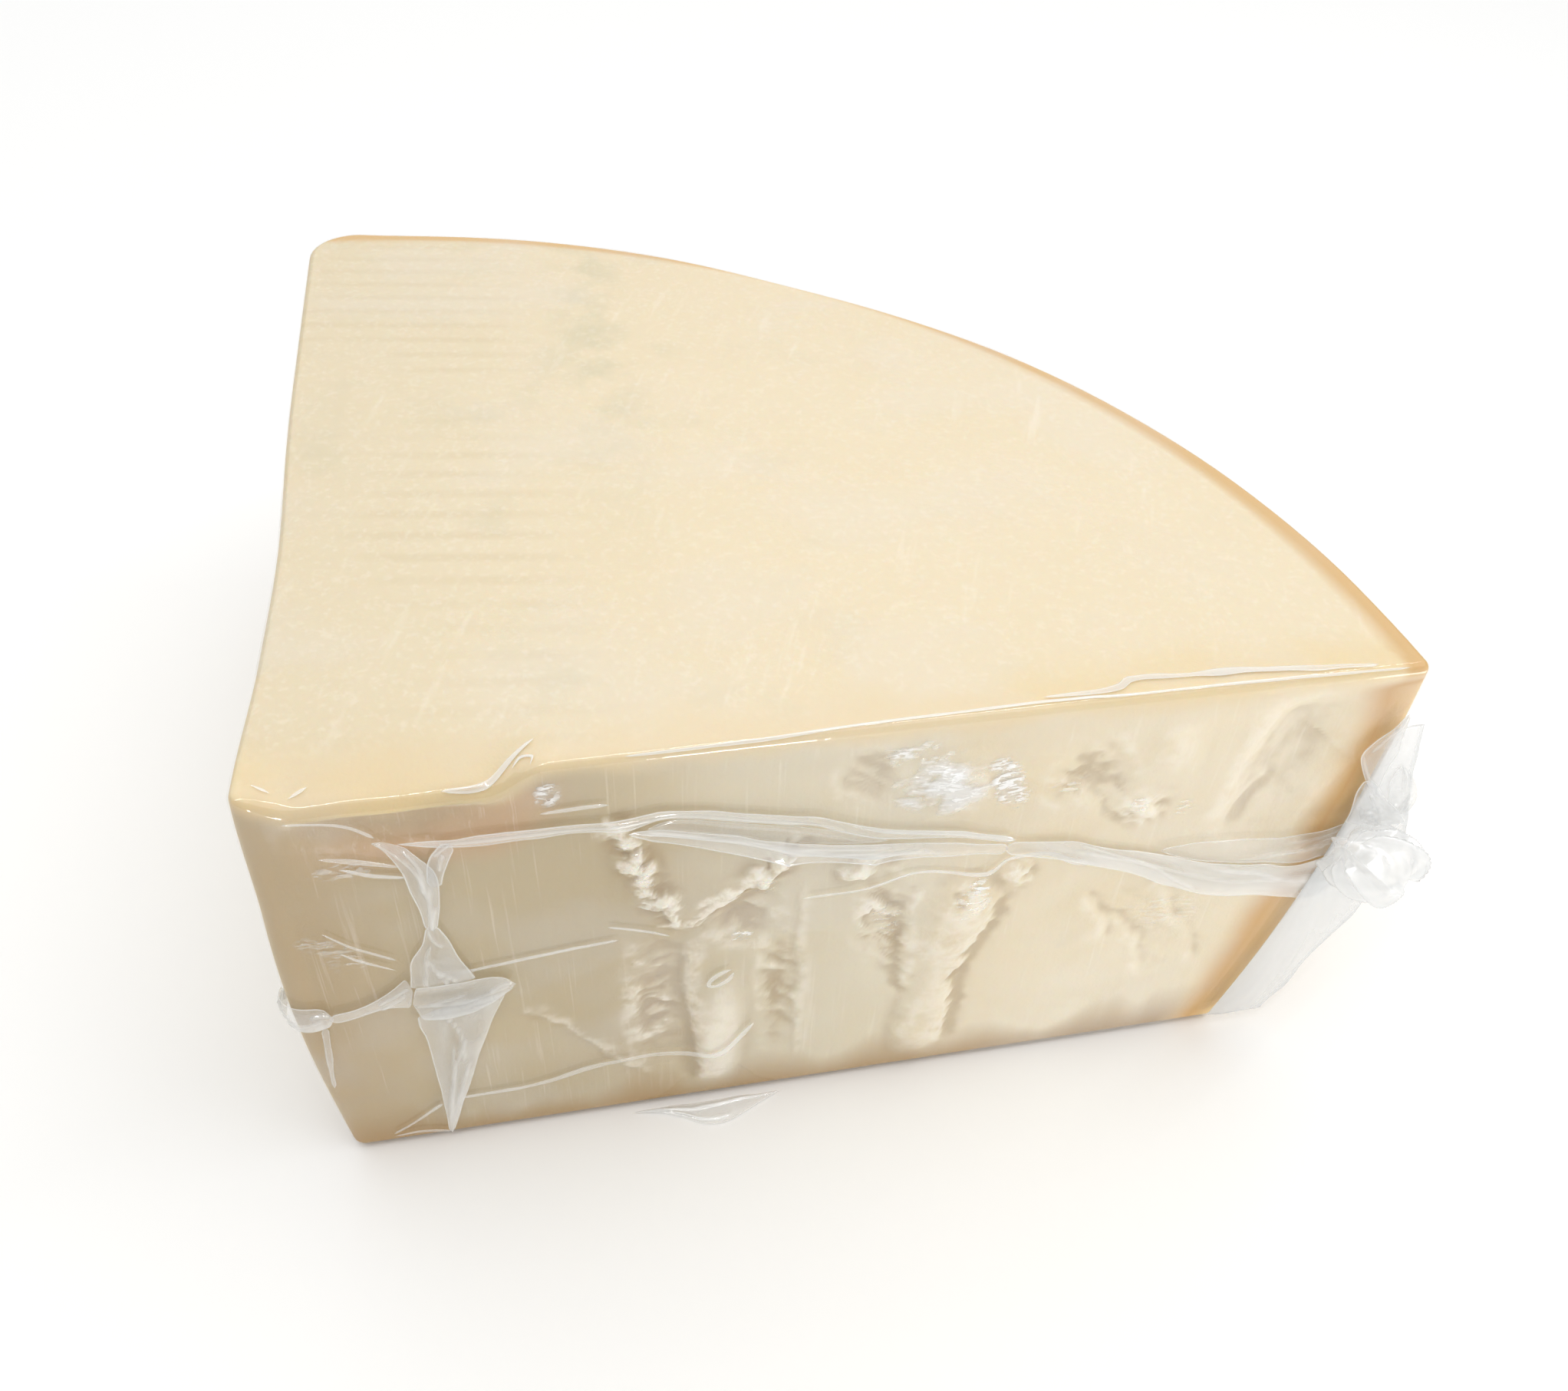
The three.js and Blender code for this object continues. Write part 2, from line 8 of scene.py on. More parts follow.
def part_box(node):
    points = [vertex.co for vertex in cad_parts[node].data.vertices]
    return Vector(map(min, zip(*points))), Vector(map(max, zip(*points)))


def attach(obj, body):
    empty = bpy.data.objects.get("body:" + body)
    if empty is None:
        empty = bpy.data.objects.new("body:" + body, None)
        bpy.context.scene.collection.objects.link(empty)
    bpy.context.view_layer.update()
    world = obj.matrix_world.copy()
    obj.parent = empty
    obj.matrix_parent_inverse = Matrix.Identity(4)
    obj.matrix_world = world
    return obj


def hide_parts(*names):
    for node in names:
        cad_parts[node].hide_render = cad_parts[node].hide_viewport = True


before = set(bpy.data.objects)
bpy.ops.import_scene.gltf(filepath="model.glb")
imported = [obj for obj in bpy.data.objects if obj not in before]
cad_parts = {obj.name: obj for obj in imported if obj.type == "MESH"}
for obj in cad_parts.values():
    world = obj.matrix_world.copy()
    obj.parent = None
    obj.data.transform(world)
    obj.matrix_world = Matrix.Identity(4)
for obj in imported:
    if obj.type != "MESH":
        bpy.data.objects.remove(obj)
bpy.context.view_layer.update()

# ------------------------------------------------------------------ form of the chunk
# An eighth of a wheel of hard cheese, cut across at half its height and split along two radii. The heel is
# the wheel's barrel-shaped rind, and the chunk stands on the flat rind of the wheel's face.

# Lengths are in millimetres in the wedge's own frame: the upright cutting edge is the z axis, the front side
# lies along +x and the left side along +y.

MM = 0.001
HEIGHT = 112                 # half of a wheel that is 224 high
WHEEL_RADIUS = 218           # at the wheel's mid height, where the top cut is
BASE_RADIUS = 201            # where the heel meets the flat rind
BARREL_POWER = 2.2           # how late the heel turns in towards the base
HEEL_FLAT = {"depth": 3, "angle": 52, "spread": 15}
HEEL_UNEVEN = {"height": 0.8, "size": 9, "ends": 8}     # slow unevenness; size and ends are in degrees
APEX_ROUND = 3.5             # plan radius of the cutting edge
FRONT_HEEL_ROUND = 3         # plan radii of the two corners of the heel
BACK_HEEL_ROUND = 13
TOP_EDGE_ROUND = 2.8         # roundings of the horizontal edges
BASE_EDGE_ROUND = 3
CHIP = {"length": 47, "depth": 5.5, "width": 22, "wave": 8}     # where the front top edge sags
LEFT_BULGE = {"rise": 3.6, "reach": 90}                 # the left side swells at half height
LEFT_LIP = {"rise": 1.6, "reach": 36}                   # its top edge stands out by the cutting edge
LEFT_HOLLOW = {"fall": 1.4, "at": 68, "reach": 34}      # and draws in further back
FACE_FADE = 7                # relief fades out this close to a side's edges
CENTRE = np.array([92.0, 92.0])     # plan point where the rings of the flat faces end
RING_CROWDING = 1.8          # how much closer together the rings of the top lie near its edge
PARTS = ("front", "front_heel", "heel", "back_heel", "left", "apex")


def corner_reach(corner):
    """How far along a side the heel's corner reaches: to the middle of its rounding, and its radius more."""
    return np.sqrt((WHEEL_RADIUS - corner) ** 2 - corner ** 2) + corner


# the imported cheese's far corner places the wedge's frame in the model's
far_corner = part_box("cheese")[1]
WEDGE_ORIGIN = np.array([
    far_corner.x / MM - corner_reach(FRONT_HEEL_ROUND),
    far_corner.y / MM - corner_reach(BACK_HEEL_ROUND),
    0,
])


def smoothstep(start, stop, value):
    """Goes from 0 at start to 1 at stop by 3t^2 - 2t^3, whichever of the two is larger."""
    share = np.clip((value - start) / (stop - start), 0, 1)
    return share * share * (3 - 2 * share)


def mix(low, high, share):
    """The value at a share of the way from low to high."""
    return low + (high - low) * share


def lattice_value(i, j, seed):
    """The same number from 0 to 1 each time for a lattice point: the fraction of a large sine."""
    wave = np.sin(i * 127.1 + j * 311.7 + seed * 74.7) * 43758.5453
    return wave - np.floor(wave)


def value_noise(u, v, seed):
    """Smooth noise from -1 to 1: lattice values blended over each unit cell."""
    i, j = np.floor(u), np.floor(v)
    a, b = smoothstep(0, 1, u - i), smoothstep(0, 1, v - j)
    low = mix(lattice_value(i, j, seed), lattice_value(i + 1, j, seed), a)
    high = mix(lattice_value(i, j + 1, seed), lattice_value(i + 1, j + 1, seed), a)
    return 2 * mix(low, high, b) - 1


def layered_noise(u, v, seed, layers):
    """Sums value noise, each layer at 2.1 times the frequency of the one before and 0.55 of its height."""
    total, height = 0, 1
    for layer in range(layers):
        total = total + height * value_noise(u * 2.1 ** layer, v * 2.1 ** layer, seed + 7 * layer)
        height *= 0.55
    return total


def facets(u, v, seed):
    """Broken facets: each cell round a jittered lattice point is a plane of its own height and tilt.

    Returns the facet's height, about -1 to 1, and the distance to the nearest point, for rounded lumps.
    """
    i, j = np.floor(u), np.floor(v)
    nearest = np.full(u.shape, 9.0)
    height = np.zeros(u.shape)
    for di in (-1, 0, 1):
        for dj in (-1, 0, 1):
            a, b = i + di, j + dj
            du = u - a - lattice_value(a, b, seed)
            dv = v - b - lattice_value(a, b, seed + 1)
            distance = np.hypot(du, dv)
            tilt = (lattice_value(a, b, seed + 2) - 0.5) * du + (lattice_value(a, b, seed + 3) - 0.5) * dv
            level = 1.2 * (lattice_value(a, b, seed + 4) - 0.5) + 1.6 * tilt
            height = np.where(distance < nearest, level, height)
            nearest = np.minimum(nearest, distance)
    return height, nearest


def line_distance(line, along, z):
    """Signed distance to a broken line, positive on its right seen from its start, and the share passed."""
    points = np.array(line, float)
    steps = np.diff(points, axis=0)
    lengths = np.hypot(*steps.T)
    nearest = np.full(along.shape, np.inf)
    side, passed = np.zeros(along.shape), np.zeros(along.shape)
    before = 0
    for start, step, length in zip(points, steps, lengths):
        across, up = along - start[0], z - start[1]
        share = np.clip((across * step[0] + up * step[1]) / length ** 2, 0, 1)
        across, up = across - share * step[0], up - share * step[1]
        distance = np.hypot(across, up)
        closer = distance < nearest
        side = np.where(closer, np.sign(across * step[1] - up * step[0]), side)
        passed = np.where(closer, (before + share * length) / lengths.sum(), passed)
        nearest = np.minimum(nearest, distance)
        before += length
    return nearest * side, passed


def heel_radius(z):
    """Radius of the barrel-shaped heel: full at the top, turning in to the base by a power of the depth."""
    down = 1 - np.clip(z / HEIGHT, 0, 1)
    return WHEEL_RADIUS - (WHEEL_RADIUS - BASE_RADIUS) * down ** BARREL_POWER


def heel_shortfall(angle):
    """How far the heel falls short of its circle: a bell curve about a plan angle, and slow noise."""
    flat = HEEL_FLAT["depth"] * np.exp(-((angle - HEEL_FLAT["angle"]) / HEEL_FLAT["spread"]) ** 2)
    ends = smoothstep(0, HEEL_UNEVEN["ends"], angle) * smoothstep(0, HEEL_UNEVEN["ends"], 90 - angle)
    uneven = 1 + value_noise(angle / HEEL_UNEVEN["size"], 0.5 + 0 * angle, 5)
    return flat + ends * HEEL_UNEVEN["height"] * uneven


def left_swell(along, z):
    """Swelling of the left side by a sine of the height, with the lip and the hollow at its top."""
    level = z / HEIGHT
    at_top = smoothstep(0.7, 1, level)
    bulge = LEFT_BULGE["rise"] * np.sin(np.pi * level) * smoothstep(LEFT_BULGE["reach"], 0, along)
    lip = LEFT_LIP["rise"] * smoothstep(LEFT_LIP["reach"], 0, along) * at_top
    reach = (along - LEFT_HOLLOW["at"]) / LEFT_HOLLOW["reach"]
    return bulge + lip - LEFT_HOLLOW["fall"] * np.exp(-reach ** 2) * at_top


def top_sag(plan):
    """How far the top face sags at a plan point, next to the chipped stretch of its front edge."""
    x, y = plan[..., 0], plan[..., 1]
    start = smoothstep(-2, 9, x)
    stop = smoothstep(CHIP["length"] + 4, CHIP["length"] - 7, x)
    inward = smoothstep(CHIP["width"], -2, y)
    uneven = 1 + 0.15 * value_noise(x / CHIP["wave"], 0.5 + 0 * x, 31)
    return CHIP["depth"] * start * stop * inward ** 2 * uneven


def spans_of(columns):
    """For each part of the outline, its columns as a slice and their shares of the way along the part."""
    ends = np.cumsum(columns)
    return {
        part: (slice(end - count, end), np.arange(count) / count)
        for part, count, end in zip(PARTS, columns, ends)
    }


def arc(centre_x, centre_y, radius, start, stop, share):
    """Points and outward directions of a plan arc: centre + radius (cos a, sin a)."""
    angle = mix(start, stop, share)
    outward = np.stack([np.cos(angle), np.sin(angle)], axis=-1)
    centre = np.stack(np.broadcast_arrays(centre_x, centre_y), axis=-1)
    return centre + np.asarray(radius)[..., None] * outward, outward


def wall(spans, z, front_relief, left_relief):
    """Plan points and outward directions of the upright sides, for an array of heights, rows by columns.

    The outline runs anticlockwise from the cutting edge: the front side is y = 0, the heel an arc about the
    origin with rounded corners, the left side x = 0. Each point is then moved outwards by its part's relief
    or swelling.
    """
    radius = heel_radius(z)
    front_reach = np.sqrt((radius - FRONT_HEEL_ROUND) ** 2 - FRONT_HEEL_ROUND ** 2)
    back_reach = np.sqrt((radius - BACK_HEEL_ROUND) ** 2 - BACK_HEEL_ROUND ** 2)
    front_angle = np.arctan2(FRONT_HEEL_ROUND, front_reach)
    back_angle = np.pi / 2 - np.arctan2(BACK_HEEL_ROUND, back_reach)
    plan = np.zeros((*z.shape, 2))
    outward = np.zeros_like(plan)
    offset = np.zeros_like(z)
    for part, (columns, share) in spans.items():
        at = np.s_[:, columns]
        share = np.broadcast_to(share, z[at].shape)
        if part == "front":
            x = mix(APEX_ROUND, front_reach[at], share)
            plan[at], outward[at] = np.stack([x, 0 * x], axis=-1), (0, -1)
            offset[at] = front_relief(x, z[at])
        elif part == "front_heel":
            plan[at], outward[at] = arc(
                front_reach[at], FRONT_HEEL_ROUND, FRONT_HEEL_ROUND, -np.pi / 2, front_angle[at], share)
        elif part == "heel":
            plan[at], outward[at] = arc(0, 0, radius[at], front_angle[at], back_angle[at], share)
            offset[at] = -heel_shortfall(np.degrees(mix(front_angle[at], back_angle[at], share)))
        elif part == "back_heel":
            plan[at], outward[at] = arc(
                BACK_HEEL_ROUND, back_reach[at], BACK_HEEL_ROUND, back_angle[at], np.pi, share)
        elif part == "left":
            y = mix(back_reach[at], APEX_ROUND, share)
            plan[at], outward[at] = np.stack([0 * y, y], axis=-1), (-1, 0)
            offset[at] = left_relief(y, z[at]) + left_swell(y, z[at])
        else:
            plan[at], outward[at] = arc(APEX_ROUND, APEX_ROUND, APEX_ROUND, np.pi, 1.5 * np.pi, share)
            offset[at] = smoothstep(1, 0, share) * left_swell(APEX_ROUND, z[at])
    return plan + outward * offset[..., None], outward


def chunk_points(spans, rows, sink, front_relief, left_relief):
    """The chunk's whole surface as rows by columns of points, lying sink inside its full size.

    The rows run from the middle of the base over its rounded edge, up the sides, over the top edge and in to
    the middle of the top. A rounded edge is a quarter circle about the wall's end; the rings of the top lie
    closer together near its edge, by a power of their share of the way in.
    """
    total = max(columns.stop for columns, _ in spans.values())

    def rounded_edge(at_top, turns):
        radius = TOP_EDGE_ROUND if at_top else BASE_EDGE_ROUND
        middle_z = HEIGHT - radius if at_top else radius
        angle = turns[:, None] * np.pi / 2
        plan, outward = wall(spans, np.full((1, total), float(middle_z)), front_relief, left_relief)
        plan = plan - outward * (radius - (radius - sink) * np.sin(angle))[..., None]
        up = (radius - sink) * np.cos(angle)
        z = middle_z + up - top_sag(plan) if at_top else middle_z - up + 0 * plan[..., 0]
        return np.concatenate([plan, z[..., None]], axis=-1)

    def rings(edge, shares, at_top):
        plan = mix(edge[None, :, :2], CENTRE, shares[:, None, None])
        z = HEIGHT - sink - top_sag(plan) if at_top else sink + 0 * plan[..., 0]
        return np.concatenate([plan, z[..., None]], axis=-1)

    base_edge = rounded_edge(False, np.arange(rows["base_round"]) / rows["base_round"])
    top_edge = rounded_edge(True, 1 - np.arange(rows["top_round"] + 1) / rows["top_round"])
    share = (np.arange(rows["wall"]) / rows["wall"])[:, None]
    z = mix(BASE_EDGE_ROUND, top_edge[0, :, 2], share)
    plan, outward = wall(spans, z, front_relief, left_relief)
    side = np.concatenate([plan - outward * sink, z[..., None]], axis=-1)
    base = rings(base_edge[0], 1 - np.arange(rows["base"]) / rows["base"], False)
    top = rings(top_edge[-1], (np.arange(1, rows["top"] + 1) / rows["top"]) ** RING_CROWDING, True)
    return np.concatenate([base, base_edge, side, top_edge, top])


def closed_piece(name, points, **attributes):
    """A smooth closed mesh from rows by columns of points in millimetres of the wedge frame.

    Columns run round and the last meets the first; the first and the last row are one point each.
    Neighbouring points make quads; where the volume inside comes out negative, all are turned about. Each
    attribute is an array of one value for each point.
    """
    rows, columns = points.shape[:2]

    def without_pole_copies(values):
        return np.concatenate([values[:1, 0], values[1:-1].reshape(-1, *values.shape[2:]), values[-1:, 0]])

    ring = 1 + np.arange((rows - 2) * columns).reshape(rows - 2, columns)
    following = np.roll(ring, -1, axis=1)
    last = ring[-1, -1] + 1
    quads = np.stack([ring[:-1], following[:-1], following[1:], ring[1:]], axis=-1).reshape(-1, 4)
    first_cap = np.stack([0 * ring[0], following[0], ring[0]], axis=-1)
    last_cap = np.stack([0 * ring[0] + last, ring[-1], following[-1]], axis=-1)
    corners = without_pole_copies(points)
    faces = quads.tolist() + first_cap.tolist() + last_cap.tolist()
    a, b, c, d = (corners[quads[:, i]] - corners.mean(axis=0) for i in range(4))
    if np.sum(np.cross(c - a, d - b) * (a + b + c + d)) < 0:
        faces = [face[::-1] for face in faces]
    mesh = bpy.data.meshes.new(name)
    mesh.from_pydata(((corners + WEDGE_ORIGIN) * MM).tolist(), [], faces)
    mesh.shade_smooth()
    for label, values in attributes.items():
        layer = mesh.attributes.new(label, "FLOAT", "POINT")
        layer.data.foreach_set("value", without_pole_copies(np.broadcast_to(values, (rows, columns))))
    piece = bpy.data.objects.new(name, mesh)
    bpy.context.scene.collection.objects.link(piece)
    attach(piece, "root")
    return piece


# ------------------------------------------------------------- relief of the two sides
# Hard cheese is scored with a knife and then split open with short wedges. Where the knife went the side is
# smooth, with fine upright drag lines; where it split, it broke along the grain of the curd into crags.

# A form is a smooth mound or hollow about a point of the side. along is the distance from the cutting edge
# and z the height; wide and high are half sizes; lean is how far it leans along the side for each millimetre
# up; rise is its height, negative for a hollow; edge is the share of its size that its flank takes; crag is
# how rough it is, and pale how whitish.
FRONT_FORMS = [
    # the overhang under the chipped top edge
    dict(along=24, z=101, wide=24, high=6, lean=0, rise=-1.8, edge=0.8, crag=0.15),
    # broken band from the top left down to the first notch
    dict(along=67, z=79, wide=4.6, high=21, lean=-0.36, rise=0.7, edge=0.9, crag=0.9),
    # broken ground where the smooth cut stops
    dict(along=67.5, z=39, wide=7, high=32, lean=0, rise=-1.3, edge=0.9, crag=0.55),
    # crest over the dark notch, and the notch
    dict(along=88.5, z=76, wide=5, high=8, lean=0.5, rise=0.8, edge=0.9, crag=1.0),
    dict(along=86, z=63, wide=9, high=10, lean=-0.1, rise=-2.0, edge=0.9, crag=0.4),
    dict(along=84, z=63, wide=5, high=5, lean=0, rise=-1.1, edge=1.0, crag=0.3),
    dict(along=93, z=38, wide=5.5, high=28, lean=0, rise=-1.1, edge=1.0, crag=0.4),
    # smooth lobe below the notch
    dict(along=80.5, z=24, wide=7.5, high=27, lean=0.05, rise=1.9, edge=0.9, crag=0.0, pale=0.75),
    # hollow below the top edge, with the crags and the dark pit under it
    dict(along=108.5, z=99, wide=8, high=10, lean=0, rise=-1.0, edge=0.9, crag=0.35),
    dict(along=108, z=75, wide=5.5, high=5, lean=0, rise=0.9, edge=0.8, crag=1.0),
    dict(along=115, z=75, wide=3.4, high=3.2, lean=0, rise=-1.1, edge=1.0, crag=0.2),
    # rough ground left of the round bulge
    dict(along=114, z=56, wide=7, high=19, lean=-0.1, rise=-0.7, edge=0.9, crag=0.6),
    # round bulge with its rough crown, and the smooth body below it
    dict(along=128.5, z=50, wide=11, high=18, lean=0.15, rise=2.6, edge=0.9, crag=0.2),
    dict(along=131, z=61, wide=8, high=8, lean=0, rise=0.6, edge=0.9, crag=0.5),
    dict(along=126, z=20, wide=8, high=24, lean=0.05, rise=1.6, edge=0.7, crag=0.1),
    dict(along=142, z=66, wide=5, high=8, lean=0, rise=0.9, edge=0.9, crag=0.55),
    # flaky slope towards the lower heel
    dict(along=175, z=41, wide=17, high=22, lean=-0.45, rise=-0.9, edge=1.0, crag=0.2),
    # pits and ridges under the right half of the top edge
    dict(along=126, z=93, wide=14, high=14, lean=0, rise=1.5, edge=1.0, crag=0.15),
    dict(along=149.5, z=91, wide=8, high=10, lean=0, rise=-1.5, edge=1.0, crag=0.45),
    dict(along=156, z=91, wide=7, high=16, lean=-0.35, rise=-1.6, edge=1.0, crag=0.35),
    dict(along=164, z=81, wide=8, high=8, lean=0, rise=0.6, edge=0.9, crag=0.5),
    dict(along=168, z=97, wide=8, high=13, lean=0, rise=0.9, edge=1.0, crag=0.05),
    dict(along=195, z=89, wide=12, high=27, lean=0.15, rise=-2.8, edge=0.9, crag=0.05),
    dict(along=189, z=77, wide=4, high=10, lean=0.45, rise=-0.9, edge=1.0, crag=0.1),
]
LEFT_FORMS = [
    dict(along=38, z=72, wide=10, high=28, lean=-0.2, rise=-1.5, edge=1.0, crag=0.4),
    dict(along=52, z=40, wide=8, high=26, lean=0.1, rise=1.6, edge=0.9, crag=0.15, pale=0.4),
    dict(along=88, z=60, wide=9, high=34, lean=0.2, rise=-1.3, edge=1.0, crag=0.5),
    dict(along=104, z=84, wide=9, high=16, lean=-0.4, rise=1.2, edge=0.9, crag=0.5),
    dict(along=132, z=46, wide=10, high=32, lean=-0.1, rise=-1.4, edge=1.0, crag=0.35),
    dict(along=146, z=70, wide=8, high=22, lean=0.3, rise=1.4, edge=0.9, crag=0.2, pale=0.3),
    dict(along=176, z=56, wide=11, high=34, lean=0.1, rise=-1.3, edge=1.0, crag=0.3),
]
# A scarp is the edge of a broken layer, along a line of (along, z) points. high and low are how far the
# surface rises on the line's right and falls on its left, and reach and back are how far those die away.
# With low the negative of high it is a ridge. width is that of the steep part, and crag how rough the line
# is, where it isn't as rough as the scarp is high.
FRONT_SCARPS = [
    # crumbly ridges on both sides of the smooth island
    dict(line=[(60.5, 99), (62, 93), (64.5, 85), (67, 77), (69.5, 70), (74, 61.5)],
         high=1.0, low=-1.0, reach=2.4, back=2.4, crag=0.85),
    dict(line=[(73, 61), (78, 66), (84, 71.5), (88.5, 74), (92, 78.5), (96, 85)],
         high=1.0, low=-1.0, reach=2.2, back=2.2, crag=0.8),
    dict(line=[(97, 87), (95.3, 81.7), (91, 77), (88.5, 72.5), (86.4, 72.8), (82, 70), (78, 66), (74, 61)],
         high=0.5, low=1.1, reach=5, back=5, width=3),
    dict(line=[(76, 6), (76, 18), (74.5, 30), (73.4, 40), (73.2, 52), (74, 61)],
         high=1.0, low=0.8, reach=8, back=6, width=2.6, crag=0.15),
    dict(line=[(133, 6), (131, 15), (132.8, 24), (131.4, 34), (133.6, 44), (138.4, 52), (138.8, 64)],
         high=-1.3, low=-0.7, reach=9, back=8, width=4.5, crag=0.3),
    dict(line=[(68, 10), (60, 18), (54, 26.5), (48, 35.5), (37.5, 43.7)],
         high=0.35, low=0.3, reach=7, back=7),
    dict(line=[(97, 8), (96.8, 40), (96.6, 76)],
         high=0.25, low=0.25, reach=6, back=5, width=1.2, crag=0.05),
    dict(line=[(121, 30), (118.5, 46), (119, 60), (122, 68)],
         high=0.6, low=0.4, reach=6, back=6, width=3),
    dict(line=[(180, 70), (184, 78), (185, 92), (188, 104), (196, 108)],
         high=-1.0, low=-0.7, reach=14, back=8, width=7, crag=0),
    dict(line=[(162, 76), (157, 84), (152, 93), (149, 104)],
         high=0.5, low=0.5, reach=6, back=6, width=5, crag=0.1),
]
# slanting flakes on the way to the heel, each from its start and top down to its foot
SLANTING_FLAKES = ((157, 57, 37, 0.45), (165, 49, 20, 0.35), (173, 58, 41, 0.4), (179, 46, 24, 0.3))
for start, top, foot, height in SLANTING_FLAKES:
    fall = top - foot
    FRONT_SCARPS.append(dict(
        line=[(start, top), (start + 0.3 * fall, (top + foot) / 2 + 2), (start + 0.45 * fall, foot)],
        high=height, low=height, reach=5, back=4, width=3.4, crag=0.14))
LEFT_SCARPS = [
    dict(line=[(26, 96), (30, 70), (25, 44), (29, 10)],
         high=-0.8, low=-0.6, reach=7, back=8, width=3, crag=0.2),
    dict(line=[(60, 100), (66, 84), (71, 66), (78, 48)],
         high=0.9, low=-0.9, reach=2.4, back=2.4, crag=0.7),
    dict(line=[(78, 48), (74, 30), (77, 8)],
         high=0.8, low=0.8, reach=7, back=6, width=2.6, crag=0.2),
    dict(line=[(118, 100), (124, 72), (116, 40), (122, 8)],
         high=-0.9, low=-0.8, reach=8, back=7, width=4, crag=0.3),
    dict(line=[(160, 10), (166, 50), (158, 76), (164, 102)],
         high=0.7, low=0.6, reach=7, back=7, width=3, crag=0.25),
]
SCARP_WIDTH = 1.8            # of the steep edge itself, where the scarp doesn't give its own
SCARP_REACH = 6              # how far about its line a scarp is craggy
SCARP_CRAG = {"share": 0.45, "most": 1.2}    # of its height, where it doesn't give its own crag
FRONT_SEED, LEFT_SEED = 11, 23
WAVE = {"size": 34, "height": 0.6}       # slow waves of a split side
FEATHER = {"size": 5.5, "reach": 2.0}    # how far crags push the edges of forms to and fro
FLAKE = {"size": 4.6, "height": 0.65}    # broken facets of the curd
LUMP = {"size": 2.3, "height": 0.6}      # rounded grains of curd
GRIT = {"size": 1.1, "height": 0.15}
PATCHY = {"size": 6, "share": 0.35}      # how unevenly rough craggy ground is
# thin flakes, level up to slant_from and slanting beyond slant_to
STRATA = {"length": 9, "spacing": 3.6, "height": 1.15, "slant": 0.7, "slant_from": 82, "slant_to": 92}
DRAG = {"size": 1.7, "fine": 0.8, "length": 90, "height": 0.035}     # upright lines that the knife drew


def side_relief(forms, scarps, seed, along, z):
    """Height of a side over its plane, and how craggy it is there, from 0 to 1.

    The height is slow waves, forms and scarps, all taken at places that noise has pushed about in craggy
    parts, so that their edges come out feathered; on them lie thin flakes, facets and lumps as high as the
    place is craggy, and knife lines where it isn't.
    """
    rough = np.zeros(along.shape)
    for form in forms:
        rough = np.maximum(rough, form["crag"] * form_share(form, along, z, grown=1.25))
    for scarp in scarps:
        distance, passed = line_distance(scarp["line"], along, z)
        near = smoothstep(SCARP_REACH, 1, np.abs(distance))
        near = near * smoothstep(0, 0.1, passed) * smoothstep(1, 0.9, passed)
        by_height = SCARP_CRAG["share"] * min(abs(scarp["high"]), SCARP_CRAG["most"])
        rough = np.maximum(rough, scarp.get("crag", by_height) * near)
    patches = value_noise(along / PATCHY["size"], z / PATCHY["size"], seed + 30)
    rough = np.clip(rough * (1 + PATCHY["share"] * patches), 0, 1)
    push = (0.15 + rough) * FEATHER["reach"]
    u = along + push * layered_noise(along / FEATHER["size"], z / FEATHER["size"], seed + 40, 3)
    v = z + push * layered_noise(along / FEATHER["size"], z / FEATHER["size"], seed + 41, 3)
    relief = WAVE["height"] * value_noise(along / WAVE["size"], z / WAVE["size"], seed)
    for form in forms:
        relief = relief + form["rise"] * form_share(form, u, v)
    for scarp in scarps:
        relief = relief + scarp_height(scarp, u, v)
    flake, _ = facets(u / FLAKE["size"], v / FLAKE["size"] * 1.3, seed + 50)
    _, lump = facets(u / LUMP["size"], v / LUMP["size"], seed + 60)
    _, grit = facets(along / GRIT["size"], z / GRIT["size"], seed + 70)
    slanting = smoothstep(STRATA["slant_from"], STRATA["slant_to"], along)
    slanted = v + STRATA["slant"] * slanting * (u - 90)
    strata = layered_noise(u / STRATA["length"], slanted / STRATA["spacing"], seed + 90, 3)
    grains = FLAKE["height"] * flake + LUMP["height"] * (0.45 - lump) + GRIT["height"] * (0.4 - grit)
    relief = relief + rough * STRATA["height"] * strata + rough ** 1.5 * grains
    lines = value_noise(along / DRAG["size"], z / DRAG["length"], seed + 80)
    lines = lines + value_noise(along / DRAG["fine"], z / DRAG["length"] * 1.5, seed + 81) / 2
    relief = relief + DRAG["height"] * (1 - rough) * lines
    return relief, rough


def form_share(form, along, z, grown=1.0):
    """How much of a form is felt at a point: 1 on it, 0 off it, by its leaning ellipse with soft flanks."""
    up = z - form["z"]
    across = along - form["along"] - form["lean"] * up
    distance = np.hypot(across / form["wide"], up / form["high"]) / grown
    return smoothstep(0, form["edge"], 1 - distance)


def scarp_height(scarp, along, z):
    """Height of a scarp: it rises to its edge on one side, and falls and recovers on the other, by e^-x."""
    distance, passed = line_distance(scarp["line"], along, z)
    ends = smoothstep(0, 0.15, passed) * smoothstep(1, 0.85, passed)
    width = scarp.get("width", SCARP_WIDTH)
    right = smoothstep(-width / 2, width / 2, distance)
    rise = scarp["high"] * np.exp(-np.maximum(distance, 0) / scarp["reach"])
    fall = scarp["low"] * np.exp(-np.maximum(-distance, 0) / scarp["back"])
    return ends * (right * rise - (1 - right) * fall)


